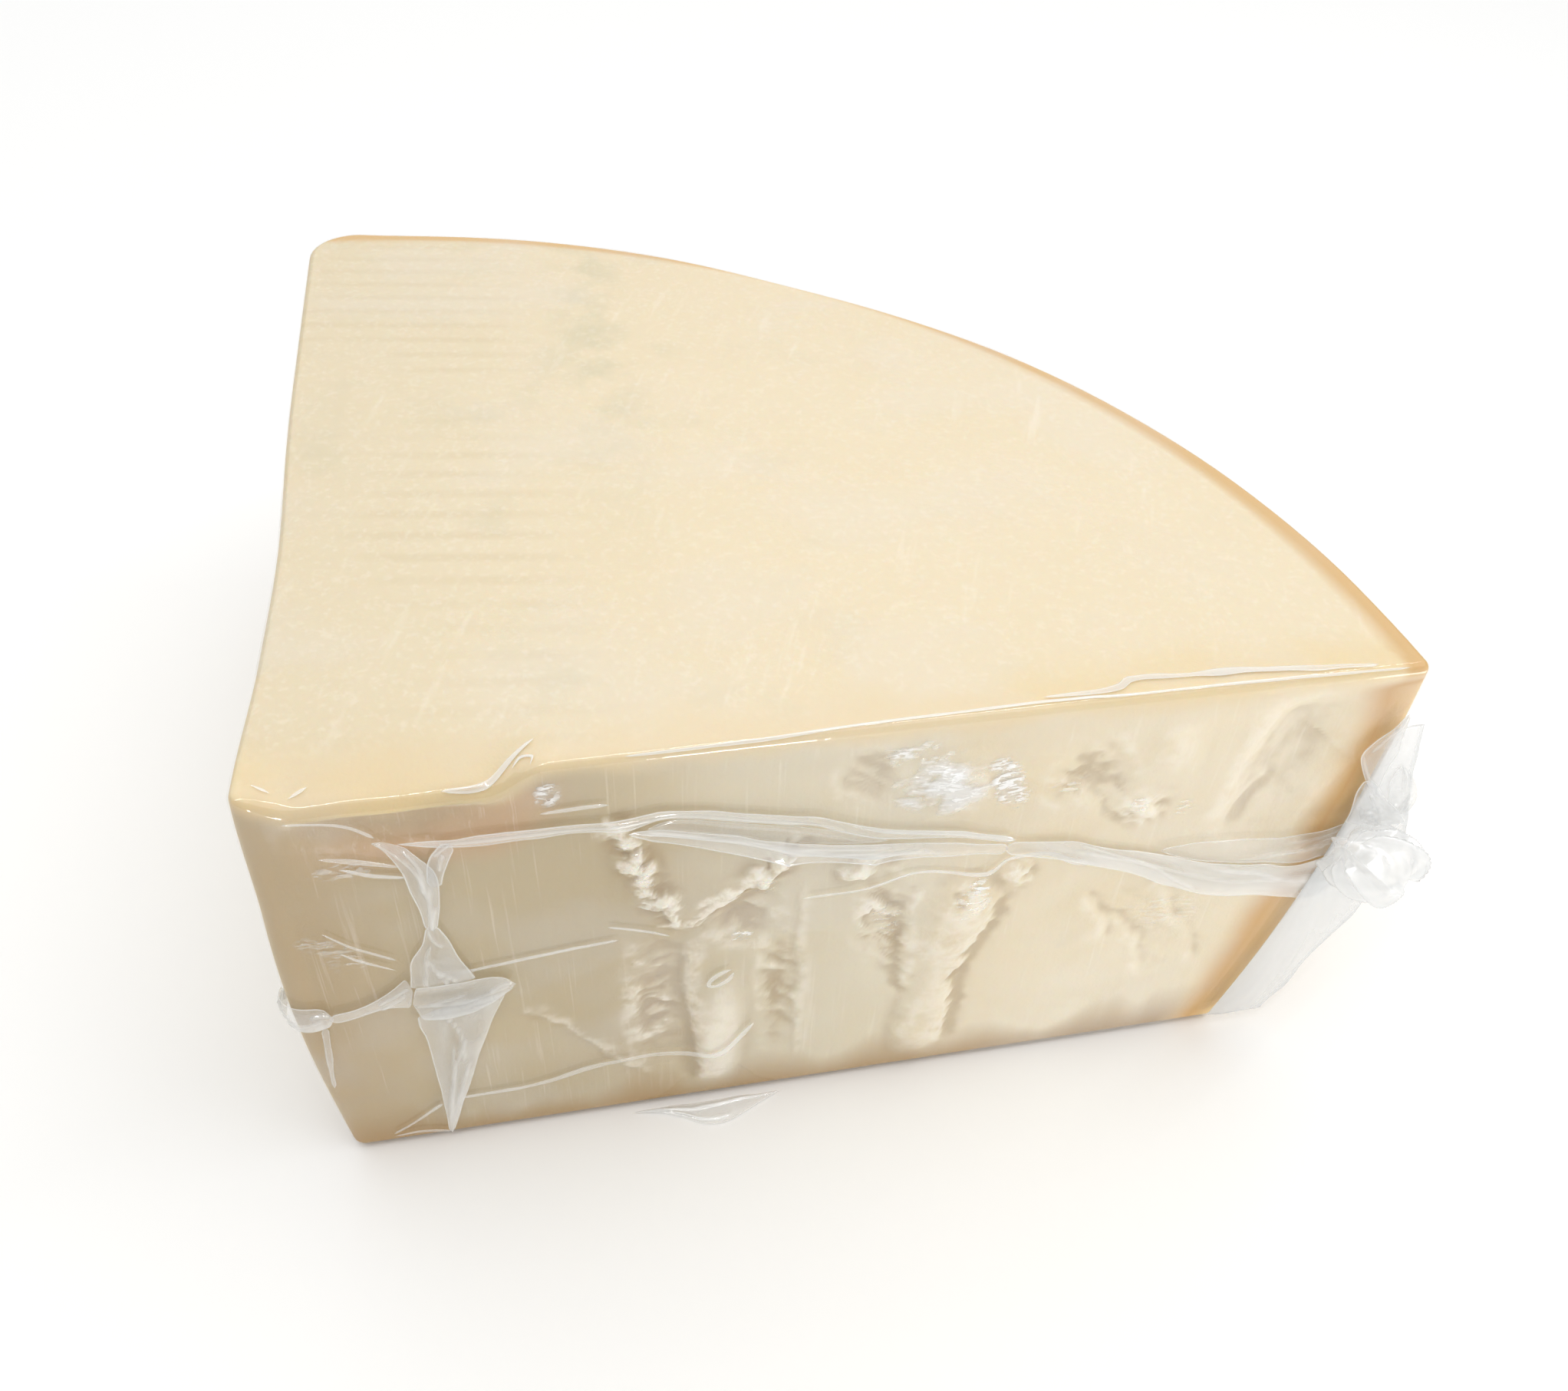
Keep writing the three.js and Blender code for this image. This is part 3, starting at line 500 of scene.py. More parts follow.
def faded(relief, along, z, far_round):
    """Relief with its fading towards the four edges of a side."""
    sides = smoothstep(0, FACE_FADE, along - APEX_ROUND)
    sides = sides * smoothstep(0, FACE_FADE, heel_radius(z) - far_round - along)
    ends = smoothstep(BASE_EDGE_ROUND / 2, BASE_EDGE_ROUND + FACE_FADE, z)
    ends = ends * smoothstep(0, FACE_FADE, HEIGHT - TOP_EDGE_ROUND - z)
    return sides * ends * relief


def front_relief(along, z):
    """Height of the front side of the cheese."""
    relief, _ = side_relief(FRONT_FORMS, FRONT_SCARPS, FRONT_SEED, along, z)
    return faded(relief, along, z, FRONT_HEEL_ROUND)


def left_relief(along, z):
    """Height of the left side of the cheese."""
    relief, _ = side_relief(LEFT_FORMS, LEFT_SCARPS, LEFT_SEED, along, z)
    return faded(relief, along, z, BACK_HEEL_ROUND)


# -------------------------------------------------------- heights of the film over them
# Shrink film is drawn taut over the cheese and sucked on to it. It bridges the pits and is pulled a little
# way into them.

FILM_PULL = 0.006            # how far each round of the sum below draws the film in
FILM_ROUNDS = 260
FILM_STEP = 1.0              # spacing of the grid of film heights


def film_over(relief):
    """Heights of film stretched over a relief.

    Again and again each point takes the mean of its neighbours, less the pull, but not less than the relief.
    """
    along, z = np.meshgrid(
        np.arange(0, WHEEL_RADIUS + 2, FILM_STEP), np.arange(0, HEIGHT + 1, FILM_STEP), indexing="ij")
    floor = relief(along, z)
    film = floor
    for _ in range(FILM_ROUNDS):
        around = np.pad(film, 1, mode="edge")
        mean = (around[2:, 1:-1] + around[:-2, 1:-1] + around[1:-1, 2:] + around[1:-1, :-2]) / 4
        film = np.maximum(floor, mean - FILM_PULL)
    return film


def film_height(grid, along, z):
    """Blends the four film heights round each point."""
    u = np.clip(along / FILM_STEP, 0, grid.shape[0] - 1.001)
    v = np.clip(z / FILM_STEP, 0, grid.shape[1] - 1.001)
    i, j = u.astype(int), v.astype(int)
    low = mix(grid[i, j], grid[i + 1, j], u - i)
    high = mix(grid[i, j + 1], grid[i + 1, j + 1], u - i)
    return mix(low, high, v - j)


FRONT_FILM = film_over(front_relief)
LEFT_FILM = film_over(left_relief)


# ------------------------------------------------------------------ the cheese itself
# Cow's milk cheese, pressed in a round mould, brined and two years old: a dry and grainy cream-coloured paste
# that light soaks into. Under the rind it turns amber; the rind is a hard, oily, straw-coloured skin.

CHEESE_COLUMNS = (312, 8, 56, 12, 104, 10)       # points round the outline, for each of its parts
CHEESE_ROWS = {"base": 3, "base_round": 5, "wall": 159, "top_round": 7, "top": 22}
FILM_SKIN = 0.8              # the cheese lies this far inside the chunk's full size
# the paste's colours: its body, then what broken, marked and outer places turn to, and the painted shade,
# shadow and light laid on it
PASTE = {
    "pale": "F0E7D3", "warm": "EADBBA", "edge": "DFCCA7", "crest": "FAF3E5", "pit": "B0956A",
    "painted_shade": "BEAC87", "rosy": "C8A47A", "butter": "E6CF9C", "foot": "AA854B", "painted_warm_light": "E7D6B2",
    "ripple": "D0B98C", "smudge_and_shade": "CFC5A2", "chalky": "E2DECC",
}
# colours of the rind and of the amber under it; how deep the amber reaches, and how far up it is deepest
RIND = {"skin": "E8CB92", "under": "CC9D52", "band": 18.5, "uneven": 0.18, "peak": 0.55}
CUT_RIND = {"width": 7.5, "colour": "D6AE6B"}    # the rind's section on the top cut
FOOT = {"height": 12.0, "uneven": 0.35}          # the darker zone along the base
PASTE_GRAIN = 0.9            # millimetres
PASTE_MOTTLE = 16
PASTE_CLOUD = 60
RIPPLE = {"spacing": 7.5, "slant": 0.14, "strength": 0.3}       # marks that the wire left on the top
EDGE_SHADE = (0.0, 125.0)   # painted shade: the paste is drawn darker and warmer next to the cutting edge, for light falling from the right, and pale beyond
CREST_RISE = (0.02, 0.35)    # millimetres over the ground about it where whitening starts and is full: the crumbs' own paleness and a painted highlight
PIT_DEPTH = (0.03, 0.6)      # and under it where darkening, which is painted shade, does
BUTTER = {"reach": 6.5, "full": 1.5, "inward": 0.35, "uneven": 1.2}     # band along the top edge
# painted shadow in a band under the sagging edge: where it starts and stops below the top, and along the
# front
OVERHANG = {"below": (2.5, 5.5), "above": (20, 11), "from": (2, 22), "to": (58, 42)}


def linear(code):
    """A linear colour from sRGB hex: each channel c becomes ((c + 0.055) / 1.055) ^ 2.4, or c / 12.92."""
    values = np.array([int(code[i:i + 2], 16) for i in (0, 2, 4)]) / 255
    light = np.where(values > 0.04045, ((values + 0.055) / 1.055) ** 2.4, values / 12.92)
    return (*light.tolist(), 1.0)


def add(tree, kind, settings=None, **links):
    """Adds a shader node: settings are its properties or its sockets' values, links go into its sockets."""
    node = tree.nodes.new("ShaderNode" + kind)
    for key, value in (settings or {}).items():
        if isinstance(key, str) and hasattr(node, key):
            setattr(node, key, value)
        else:
            node.inputs[key].default_value = value
    for key, source in links.items():
        name = int(key[1:]) if key[0] == "_" else key.replace("_", " ")
        tree.links.new(source, node.inputs[name])
    return node


def new_material(name):
    """An empty node material and its output node."""
    material = bpy.data.materials.new(name)
    material.use_nodes = True
    tree = material.node_tree
    tree.nodes.clear()
    return material, tree, tree.nodes.new("ShaderNodeOutputMaterial")


def sunk(relief, reach):
    """How far each point of a relief lies under the mean of the square of 2 reach + 1 points about it."""
    size = 2 * reach + 1
    padded = np.pad(relief, reach, mode="edge")
    sums = np.pad(padded.cumsum(axis=0).cumsum(axis=1), ((1, 0), (1, 0)))
    mean = (sums[size:, size:] - sums[:-size, size:] - sums[size:, :-size] + sums[:-size, :-size]) / size ** 2
    return mean - relief


cheese_spans = spans_of(CHEESE_COLUMNS)
cheese_points = chunk_points(cheese_spans, CHEESE_ROWS, FILM_SKIN, front_relief, left_relief)
x, y, z = np.moveaxis(cheese_points, -1, 0)
front_columns, left_columns = cheese_spans["front"][0], cheese_spans["left"][0]
first_wall_row = CHEESE_ROWS["base"] + CHEESE_ROWS["base_round"]
wall_rows = slice(first_wall_row, first_wall_row + CHEESE_ROWS["wall"])
crest, pale, pit, bridged, smooth = (np.zeros(x.shape) for _ in range(5))
for columns, along, forms, scarps, seed, film, relief in (
        (front_columns, x, FRONT_FORMS, FRONT_SCARPS, FRONT_SEED, FRONT_FILM, front_relief),
        (left_columns, y, LEFT_FORMS, LEFT_SCARPS, LEFT_SEED, LEFT_FILM, left_relief)):
    at = (wall_rows, columns)
    height = relief(along[at], z[at])
    crag = side_relief(forms, scarps, seed, along[at], z[at])[1]
    # crest whitens the paste, for the crumbs' own paleness and as a painted highlight; pit darkens it as
    # painted shade in hollows, and bridged, how far the film stands off, adds more painted shade
    low = sunk(height, 3) + 0.6 * sunk(height, 8)
    crest[at] = (0.3 + 0.7 * crag) * smoothstep(*CREST_RISE, -low)
    pit[at] = (0.4 + 0.6 * crag) * smoothstep(*PIT_DEPTH, low)
    bridged[at] = film_height(film, along[at], z[at]) - height
    smooth[at] = smoothstep(0.35, 0.05, crag)
    for form in forms:
        pale[at] = np.maximum(pale[at], form.get("pale", 0) * form_share(form, along[at], z[at]))
# how near the rind is: 1 on it, and falling evenly to 0 where the amber has faded out
from_heel = heel_radius(z) - np.hypot(x, y)
rind_band = RIND["band"] * mix(0.95, 1, smoothstep(0, 22, z))
rind_band = rind_band * (1 + RIND["uneven"] * value_noise(z / 14, np.arctan2(y, x) * 9, 61))
rind = np.clip(1 - from_heel / rind_band, 0, 1) * smoothstep(HEIGHT - 2, HEIGHT - 6, z)
rind = np.where(z < BASE_EDGE_ROUND / 4, np.maximum(rind, 0.8), rind)
cut_rind = smoothstep(CUT_RIND["width"], CUT_RIND["width"] - 2.5, from_heel)
cut_rind = cut_rind * smoothstep(HEIGHT - 6, HEIGHT - 2, z)
foot_height = FOOT["height"] * (1 + FOOT["uneven"] * layered_noise(x / 13, y / 13, 62, 3))
foot = np.clip(1 - z / foot_height, 0, 1)
# the sharp top edge is buttery, and the overhang under its sagging stretch gets a painted shadow
under_top = HEIGHT - top_sag(cheese_points[..., :2]) - z
from_edge = under_top + BUTTER["inward"] * y + BUTTER["uneven"] * layered_noise(x / 11, y / 11, 63, 2)
butter = smoothstep(BUTTER["reach"], BUTTER["full"], from_edge) * smoothstep(3, 9, z)
rosy = smoothstep(*OVERHANG["below"], under_top) * smoothstep(*OVERHANG["above"], under_top)
rosy = rosy * smoothstep(4, 0.5, y) * smoothstep(*OVERHANG["from"], x) * smoothstep(*OVERHANG["to"], x)
cheese = closed_piece(
    "cheese_chunk", cheese_points, crest=crest, pale=pale, pit=pit, bridged=bridged, smooth=smooth, rind=rind,
    cut_rind=cut_rind, foot=foot, butter=butter, rosy=rosy)

paste, tree, output = new_material("hard_cheese_paste_and_rind")
where = add(tree, "TexCoord").outputs["Object"]
place = add(tree, "SeparateXYZ", _0=where)


def tinted(below, share, colour):
    """Lays a colour over the one below by a share."""
    return add(tree, "Mix", {"data_type": "RGBA", 7: linear(colour)}, _0=share, _6=below).outputs[2]


def noise_share(size, detail, start, stop, most, vector=where):
    """A share from 0 to most by noise of a size in millimetres, between two of its levels."""
    noise = add(tree, "TexNoise", {"Scale": 1000 / size, "Detail": detail, "Roughness": 0.6}, Vector=vector)
    share = add(
        tree, "MapRange", {"From Min": start, "From Max": stop, "To Max": most}, Value=noise.outputs["Fac"])
    return share.outputs["Result"]


def multiplied(first, *others):
    """The product of shares."""
    for other in others:
        first = add(tree, "Math", {"operation": "MULTIPLY"}, _0=first, _1=other).outputs[0]
    return first


def attribute_share(name, start, stop, most):
    """A share from 0 to most by an attribute of the mesh, between two of its values."""
    source = add(tree, "Attribute", {"attribute_name": name}).outputs["Fac"]
    share = add(tree, "MapRange", {"From Min": start, "From Max": stop, "To Max": most}, Value=source)
    return share.outputs["Result"]


def axis_share(axis, start, stop, most=1.0):
    """A share from 0 to most between two places, in millimetres of the wedge's frame, along an axis."""
    offset = WEDGE_ORIGIN["XYZ".index(axis)]
    return add(tree, "MapRange", {
        "From Min": (start + offset) * MM, "From Max": (stop + offset) * MM, "To Max": most,
        "interpolation_type": "SMOOTHSTEP",
    }, Value=place.outputs[axis]).outputs["Result"]


def stretched(x_scale, y_scale, z_scale, turn):
    """Object coordinates turned about z by degrees and scaled, for patterns drawn out along one direction."""
    return add(tree, "Mapping", {
        "vector_type": "TEXTURE",
        "Rotation": (0, 0, np.radians(turn)),
        "Scale": (1 / x_scale, 1 / y_scale, 1 / z_scale),
    }, Vector=where).outputs["Vector"]


# cream paste, clouded, and darker and warmer towards the cutting edge, which is painted shade
body = add(tree, "RGB").outputs[0]
body.default_value = linear(PASTE["pale"])
body = tinted(body, noise_share(PASTE_CLOUD, 3, 0.4, 0.65, 0.8), PASTE["warm"])
# painted shade: darker and warmer towards the cutting edge
body = tinted(body, axis_share("X", EDGE_SHADE[1], EDGE_SHADE[0], 0.75), PASTE["edge"])
body = tinted(body, noise_share(PASTE_MOTTLE, 5, 0.48, 0.7, 0.3), PASTE["edge"])
# the front: darker on its cut part towards the cutting edge, which is painted shade, paler in a band under
# the top edge, chalky in the middle, whitish on the crests of crags for their own paleness and as a painted
# highlight, tan in their pits and where the film bridges hollows as painted shade, with a painted shadow
# under the overhang, and whitish lines where the knife went
on_front = axis_share("Y", 4, 0.5)
body = tinted(body, multiplied(on_front, axis_share("Z", -20, 80, 0.45)), PASTE["edge"])
# painted shade: darker on the cut part, and more so next to the cutting edge
body = tinted(body, multiplied(on_front, axis_share("X", 150, 50)), PASTE["painted_shade"])
body = tinted(body, multiplied(on_front, axis_share("X", 30, 2, 0.4)), PASTE["foot"])
upper_band = multiplied(on_front, axis_share("Z", 88, 100, 0.45), axis_share("X", 50, 85))
body = tinted(body, upper_band, PASTE["warm"])
middle_band = multiplied(on_front, axis_share("X", 68, 88), axis_share("X", 130, 118, 0.28))
body = tinted(body, middle_band, PASTE["chalky"])
body = tinted(body, attribute_share("pale", 0, 1, 0.8), PASTE["crest"])
# whitish crests: the crumbs' own paleness, and a painted highlight on them
crests = multiplied(attribute_share("crest", 0, 0.8, 0.9), noise_share(3, 4, 0.3, 0.55, 1.0))
body = tinted(body, crests, PASTE["crest"])
# painted shade in the pits, and where the film bridges a hollow
body = tinted(body, attribute_share("pit", 0, 1, 0.95), PASTE["pit"])
body = tinted(body, attribute_share("bridged", 0.5, 5, 0.3), PASTE["pit"])
# painted shadow under the overhang
body = tinted(body, attribute_share("rosy", 0, 1, 0.9), PASTE["rosy"])
knife_lines = noise_share(0.8, 2, 0.6, 0.75, 1.0, stretched(1, 1, 0.02, 0))
body = tinted(body, multiplied(attribute_share("smooth", 0, 1, 0.22), knife_lines), PASTE["crest"])
# the top: warmer to the right and greyer to the left, which is painted light from the right, warmer at its
# back, with ripples of the wire, greenish smudges and a band of them, long scratches and whitish specks
on_top = axis_share("Z", HEIGHT - 3, HEIGHT - 1)
# painted light: warmer to the right of the top
body = tinted(body, multiplied(on_top, axis_share("X", -40, 90, 0.85)), PASTE["painted_warm_light"])
body = tinted(body, multiplied(on_top, axis_share("Y", 60, 190, 0.25)), PASTE["edge"])
across_ripples = add(tree, "Math", {
    "operation": "MULTIPLY_ADD", 1: RIPPLE["slant"],
}, _0=place.outputs["X"], _2=place.outputs["Y"])
ripple_turn = add(tree, "Math", {
    "operation": "MULTIPLY", 1: 2 * np.pi / (RIPPLE["spacing"] * MM),
}, _0=across_ripples.outputs[0])
ripple = add(tree, "Math", {"operation": "SINE"}, _0=ripple_turn.outputs[0])
ripple_share = add(tree, "MapRange", {
    "From Min": 0.0, "From Max": 1.0, "To Max": RIPPLE["strength"],
}, Value=ripple.outputs[0])
ripple_place = multiplied(axis_share("X", 72, 40), noise_share(40, 3, 0.42, 0.58, 1.0))
body = tinted(body, multiplied(on_top, ripple_share.outputs["Result"], ripple_place), PASTE["ripple"])
smudges = multiplied(noise_share(24, 4, 0.55, 0.7, 0.35), axis_share("X", 170, 60))
body = tinted(body, multiplied(on_top, smudges), PASTE["smudge_and_shade"])
smudged_band = multiplied(axis_share("X", 58, 70), axis_share("X", 86, 74), axis_share("Y", 40, 150, 0.6))
body = tinted(body, multiplied(on_top, smudged_band, noise_share(14, 4, 0.4, 0.6, 1.0)), PASTE["smudge_and_shade"])
scratches = noise_share(4, 3, 0.62, 0.75, 0.25, stretched(1, 0.12, 1, -22))
body = tinted(body, multiplied(on_top, scratches), PASTE["crest"])
# painted shade: greyer to the left of the top, in the smudges' colour
body = tinted(body, multiplied(on_top, axis_share("X", 100, 10, 0.22)), PASTE["smudge_and_shade"])
body = tinted(body, multiplied(on_top, noise_share(1.4, 3, 0.52, 0.68, 0.2)), PASTE["crest"])
# the edges: buttery along the top, darker along the foot, and the rind's section on the top
body = tinted(body, attribute_share("butter", 0, 1, 0.7), PASTE["butter"])
body = tinted(body, attribute_share("foot", 0, 0.8, 0.85), PASTE["foot"])
body = tinted(body, attribute_share("cut_rind", 0, 1, 0.95), CUT_RIND["colour"])
# amber under the rind, then the straw-coloured rind itself
rind_share = add(tree, "Attribute", {"attribute_name": "rind"}).outputs["Fac"]
rind_paint = add(tree, "ValToRGB", _0=rind_share)
stops = rind_paint.color_ramp.elements
stops[0].position, stops[0].color = 0.0, linear(PASTE["warm"])
stops[1].position, stops[1].color = 1.0, linear(RIND["skin"])
middle_stop = stops.new(RIND["peak"])
middle_stop.color = linear(RIND["under"])
rind_here = add(tree, "MapRange", {
    "From Min": 0.0, "From Max": 0.5, "interpolation_type": "SMOOTHSTEP",
}, Value=rind_share)
body = add(tree, "Mix", {
    "data_type": "RGBA",
}, _0=rind_here.outputs["Result"], _6=body, _7=rind_paint.outputs["Color"]).outputs[2]
grain = add(tree, "TexNoise", {"Scale": 1000 / PASTE_GRAIN, "Detail": 2, "Roughness": 0.6}, Vector=where)
bump = add(tree, "Bump", {"Strength": 0.35, "Distance": 0.0003}, Height=grain.outputs["Fac"])
surface = add(tree, "BsdfPrincipled", {
    "Roughness": 0.55,
    "Subsurface Weight": 0.5,
    "Subsurface Radius": (1.0, 0.62, 0.3),
    "Subsurface Scale": 0.004,
    "IOR": 1.45,
}, Base_Color=body, Normal=bump.outputs["Normal"])
tree.links.new(surface.outputs["BSDF"], output.inputs["Surface"])
cheese.data.materials.append(paste)
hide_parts("cheese")

# ----------------------------------------------------------------------- the film skin
# A tenth of a millimetre of clear shrink film, taut on the cheese all round. It is smooth and glossy, so it
# shows mostly as highlights along the edges and over the bridged pits.

SKIN_COLUMNS = (200, 8, 60, 12, 90, 10)          # points round the outline, for each of its parts
SKIN_ROWS = {"base": 2, "base_round": 5, "wall": 104, "top_round": 9, "top": 20}
FILM_SHINE = 0.05            # roughness
FILM_MIRROR = 0.05           # share of light that the film mirrors where it is seen head on
FILM_GRAZE = 0.12            # and how much more of it where it is seen edge on
MILK_SATIN = {"share": 0.12, "roughness": 0.35}          # the soft sheen where film is milky
SKIN_SINK = 0.5              # the skin lies this far inside the chunk's full size, for lines drawn up on it
SKIN_HAZE = 0.04             # how milky the taut film is at least
WRINKLE = 5.0                # millimetres between the fine wrinkles of taut film
CRINKLE_SIZE = 0.9           # millimetres between the fine level wrinkles, and the glints painted on them
CRINKLE_STRETCH = (3.5, 3.5, 1)          # they run level
CRINKLE_DEPTH = 0.45         # millimetres
GLINT_LEVELS = (0.47, 0.55)             # levels of their noise where the painted glints start and are full
CRINKLE_EDGE = {"ragged": 0.8, "size": (4, 2.6)}         # millimetres
VEIL = {"most": 0.17, "size": (30, 22)}  # faint haze of the taut film, in clouds
# places on the front where the taut film has gone into fine wrinkles, given like the forms above, with the
# glare and glints of lamps on them painted in as white milk; the last entry, where given, is how milky the
# film is between the glints, which is painted glare too
CRINKLE_GLARE_PATCHES = [
    dict(along=117.5, z=102.5, wide=11, high=8, lean=-0.8, edge=1.0, share=1.0, haze_and_glare=0.6),
    dict(along=122.5, z=95, wide=15, high=12, lean=0, edge=1.0, share=1.0, haze_and_glare=0.85),
    dict(along=135, z=93.5, wide=6, high=12, lean=-0.4, edge=1.0, share=1.0, haze_and_glare=0.4),
    dict(along=50.5, z=104.5, wide=3.5, high=4, lean=0, edge=0.8, share=0.9, haze_and_glare=0.3),
    dict(along=133.5, z=64, wide=3, high=2.5, lean=0, edge=0.8, share=1.0),
    dict(along=85, z=57.6, wide=3.5, high=2.5, lean=0, edge=0.8, share=1.0),
    dict(along=15, z=91, wide=10, high=4, lean=0, edge=0.9, share=0.4),
    dict(along=9, z=68, wide=8, high=10, lean=-0.7, edge=0.9, share=0.3),
    dict(along=132, z=60, wide=6, high=6, lean=0, edge=0.9, share=0.45),
    dict(along=149, z=90, wide=6, high=4, lean=0, edge=0.9, share=0.45),
    dict(along=163, z=83, wide=3.5, high=3.5, lean=0, edge=0.9, share=0.5),
    dict(along=174, z=80, wide=3, high=3, lean=0, edge=0.9, share=0.4),
    dict(along=115, z=58, wide=5, high=9, lean=0, edge=0.9, share=0.3),
    dict(along=89, z=74, wide=4, high=5, lean=0, edge=0.9, share=0.35),
    dict(along=65, z=84, wide=4, high=12, lean=-0.3, edge=0.9, share=0.3),
    dict(along=178, z=46, wide=12, high=10, lean=-0.5, edge=0.9, share=0.25),
]


def film_material(name, least_milk, most_milk, shone_share, crinkle, colour="FBFBF9", with_glare=False):
    """Clear film: mostly transparent, milky by the attribute milk, with a gloss that grows at grazing angles.

    shone_share of the milk's light comes through from behind; crinkle is the depth in millimetres of its
    wrinkles. Film with glare has fine level wrinkles as well, where the skin's attribute of crinkles and
    glare says so, and white glints painted on their crests as milk.
    """
    material, tree, output = new_material(name)
    where = add(tree, "TexCoord").outputs["Object"]
    wrinkles = add(tree, "TexNoise", {"Scale": 1000 / WRINKLE, "Detail": 2, "Roughness": 0.55}, Vector=where)
    bump = add(tree, "Bump", {"Strength": 1.0, "Distance": crinkle * MM}, Height=wrinkles.outputs["Fac"])
    normal = bump.outputs["Normal"]
    milk = add(tree, "Attribute", {"attribute_name": "milk"}).outputs["Fac"]
    milky = add(tree, "MapRange", {"To Min": least_milk, "To Max": most_milk}, Value=milk)
    amount = milky.outputs["Result"]
    if with_glare:
        drawn_out = add(tree, "Mapping", {"vector_type": "TEXTURE", "Scale": CRINKLE_STRETCH}, Vector=where)
        fine = add(tree, "TexNoise", {
            "Scale": 1000 / CRINKLE_SIZE, "Detail": 2, "Roughness": 0.6, "Distortion": 0.6,
        }, Vector=drawn_out.outputs["Vector"])
        crinkled = add(tree, "Attribute", {"attribute_name": "crinkled"}).outputs["Fac"]
        ridges = add(tree, "Math", {"operation": "MULTIPLY"}, _0=fine.outputs["Fac"], _1=crinkled)
        raised = add(tree, "Bump", {
            "Strength": 1.0, "Distance": CRINKLE_DEPTH * MM,
        }, Height=ridges.outputs[0], Normal=normal)
        normal = raised.outputs["Normal"]
        # painted glints: white milk along the crests of the fine wrinkles
        lines = add(tree, "MapRange", {
            "From Min": GLINT_LEVELS[0], "From Max": GLINT_LEVELS[1],
        }, Value=fine.outputs["Fac"])
        painted_glints = add(tree, "Math", {"operation": "MULTIPLY"}, _0=lines.outputs["Result"], _1=crinkled)
        most = add(tree, "Math", {"operation": "MAXIMUM"}, _0=amount, _1=painted_glints.outputs[0])
        amount = most.outputs[0]
    clear = add(tree, "BsdfTransparent")
    lit = add(tree, "BsdfDiffuse", {"Color": linear(colour)}, Normal=normal)
    shone_through = add(tree, "BsdfTranslucent", {"Color": linear(colour)}, Normal=normal)
    satin = add(
        tree, "BsdfGlossy", {"Roughness": MILK_SATIN["roughness"], "Color": (1, 1, 1, 1)}, Normal=normal)
    white = add(tree, "MixShader", {0: shone_share}, _1=lit.outputs[0], _2=shone_through.outputs[0])
    white = add(tree, "MixShader", {0: MILK_SATIN["share"]}, _1=white.outputs[0], _2=satin.outputs[0])
    layers = add(tree, "MixShader", _0=amount, _1=clear.outputs[0], _2=white.outputs[0])
    gloss = add(tree, "BsdfGlossy", {"Roughness": FILM_SHINE, "Color": (1, 1, 1, 1)}, Normal=normal)
    facing = add(tree, "LayerWeight", {"Blend": 0.5}, Normal=normal)
    grazing = add(tree, "Math", {"operation": "POWER", 1: 5.0}, _0=facing.outputs["Facing"])
    share = add(
        tree, "Math", {"operation": "MULTIPLY_ADD", 1: FILM_GRAZE, 2: FILM_MIRROR}, _0=grazing.outputs[0])
    both = add(tree, "MixShader", _0=share.outputs[0], _1=layers.outputs[0], _2=gloss.outputs[0])
    tree.links.new(both.outputs[0], output.inputs["Surface"])
    return material


def skin_front(along, z):
    """Height of the film over the front side."""
    return film_height(FRONT_FILM, along, z)


def skin_left(along, z):
    """Height of the film over the left side."""
    return film_height(LEFT_FILM, along, z)


skin_points = chunk_points(spans_of(SKIN_COLUMNS), SKIN_ROWS, SKIN_SINK, skin_front, skin_left)
x, y, z = np.moveaxis(skin_points, -1, 0)
# patches of fine wrinkles, with glare and glints painted on them as milk, and with ragged edges
crinkled = np.zeros(x.shape)
clouds = layered_noise(x / VEIL["size"][0], (y + z) / VEIL["size"][1], 111, 3)
haze_and_glare = VEIL["most"] * smoothstep(-0.1, 1, clouds)
ragged = layered_noise(x / CRINKLE_EDGE["size"][0], z / CRINKLE_EDGE["size"][1], 113, 4)
ragged = 1 + CRINKLE_EDGE["ragged"] * ragged
for patch in CRINKLE_GLARE_PATCHES:
    felt = smoothstep(0.15, 0.75, form_share(patch, x, z) * ragged) * smoothstep(8, 4, y)
    crinkled = np.maximum(crinkled, patch["share"] * felt)
    haze_and_glare = np.maximum(haze_and_glare, patch.get("haze_and_glare", 0) * felt)
skin = closed_piece("film_skin", skin_points, milk=haze_and_glare, crinkled=crinkled)
skin.data.materials.append(film_material("taut_shrink_film", SKIN_HAZE, 0.85, 0.1, 0.05, with_glare=True))

# ------------------------------------------------------------------ gathers of the film
# Where the film was sealed and shrank unevenly it gathers into a seam across the front, a hanging pleat and a
# seam round the cutting edge. Each is two or more layers lying on the skin, milky, with bright folded rims.

FILM_GAP = 0.35              # between the skin and the gathers
APEX_ARC = APEX_ROUND * np.pi / 2
RIM = {"height": 0.35, "width": 0.35}    # of the bead along a folded edge
FOLD = {"height": 0.4, "width": 0.38}    # of the long folds between the edges


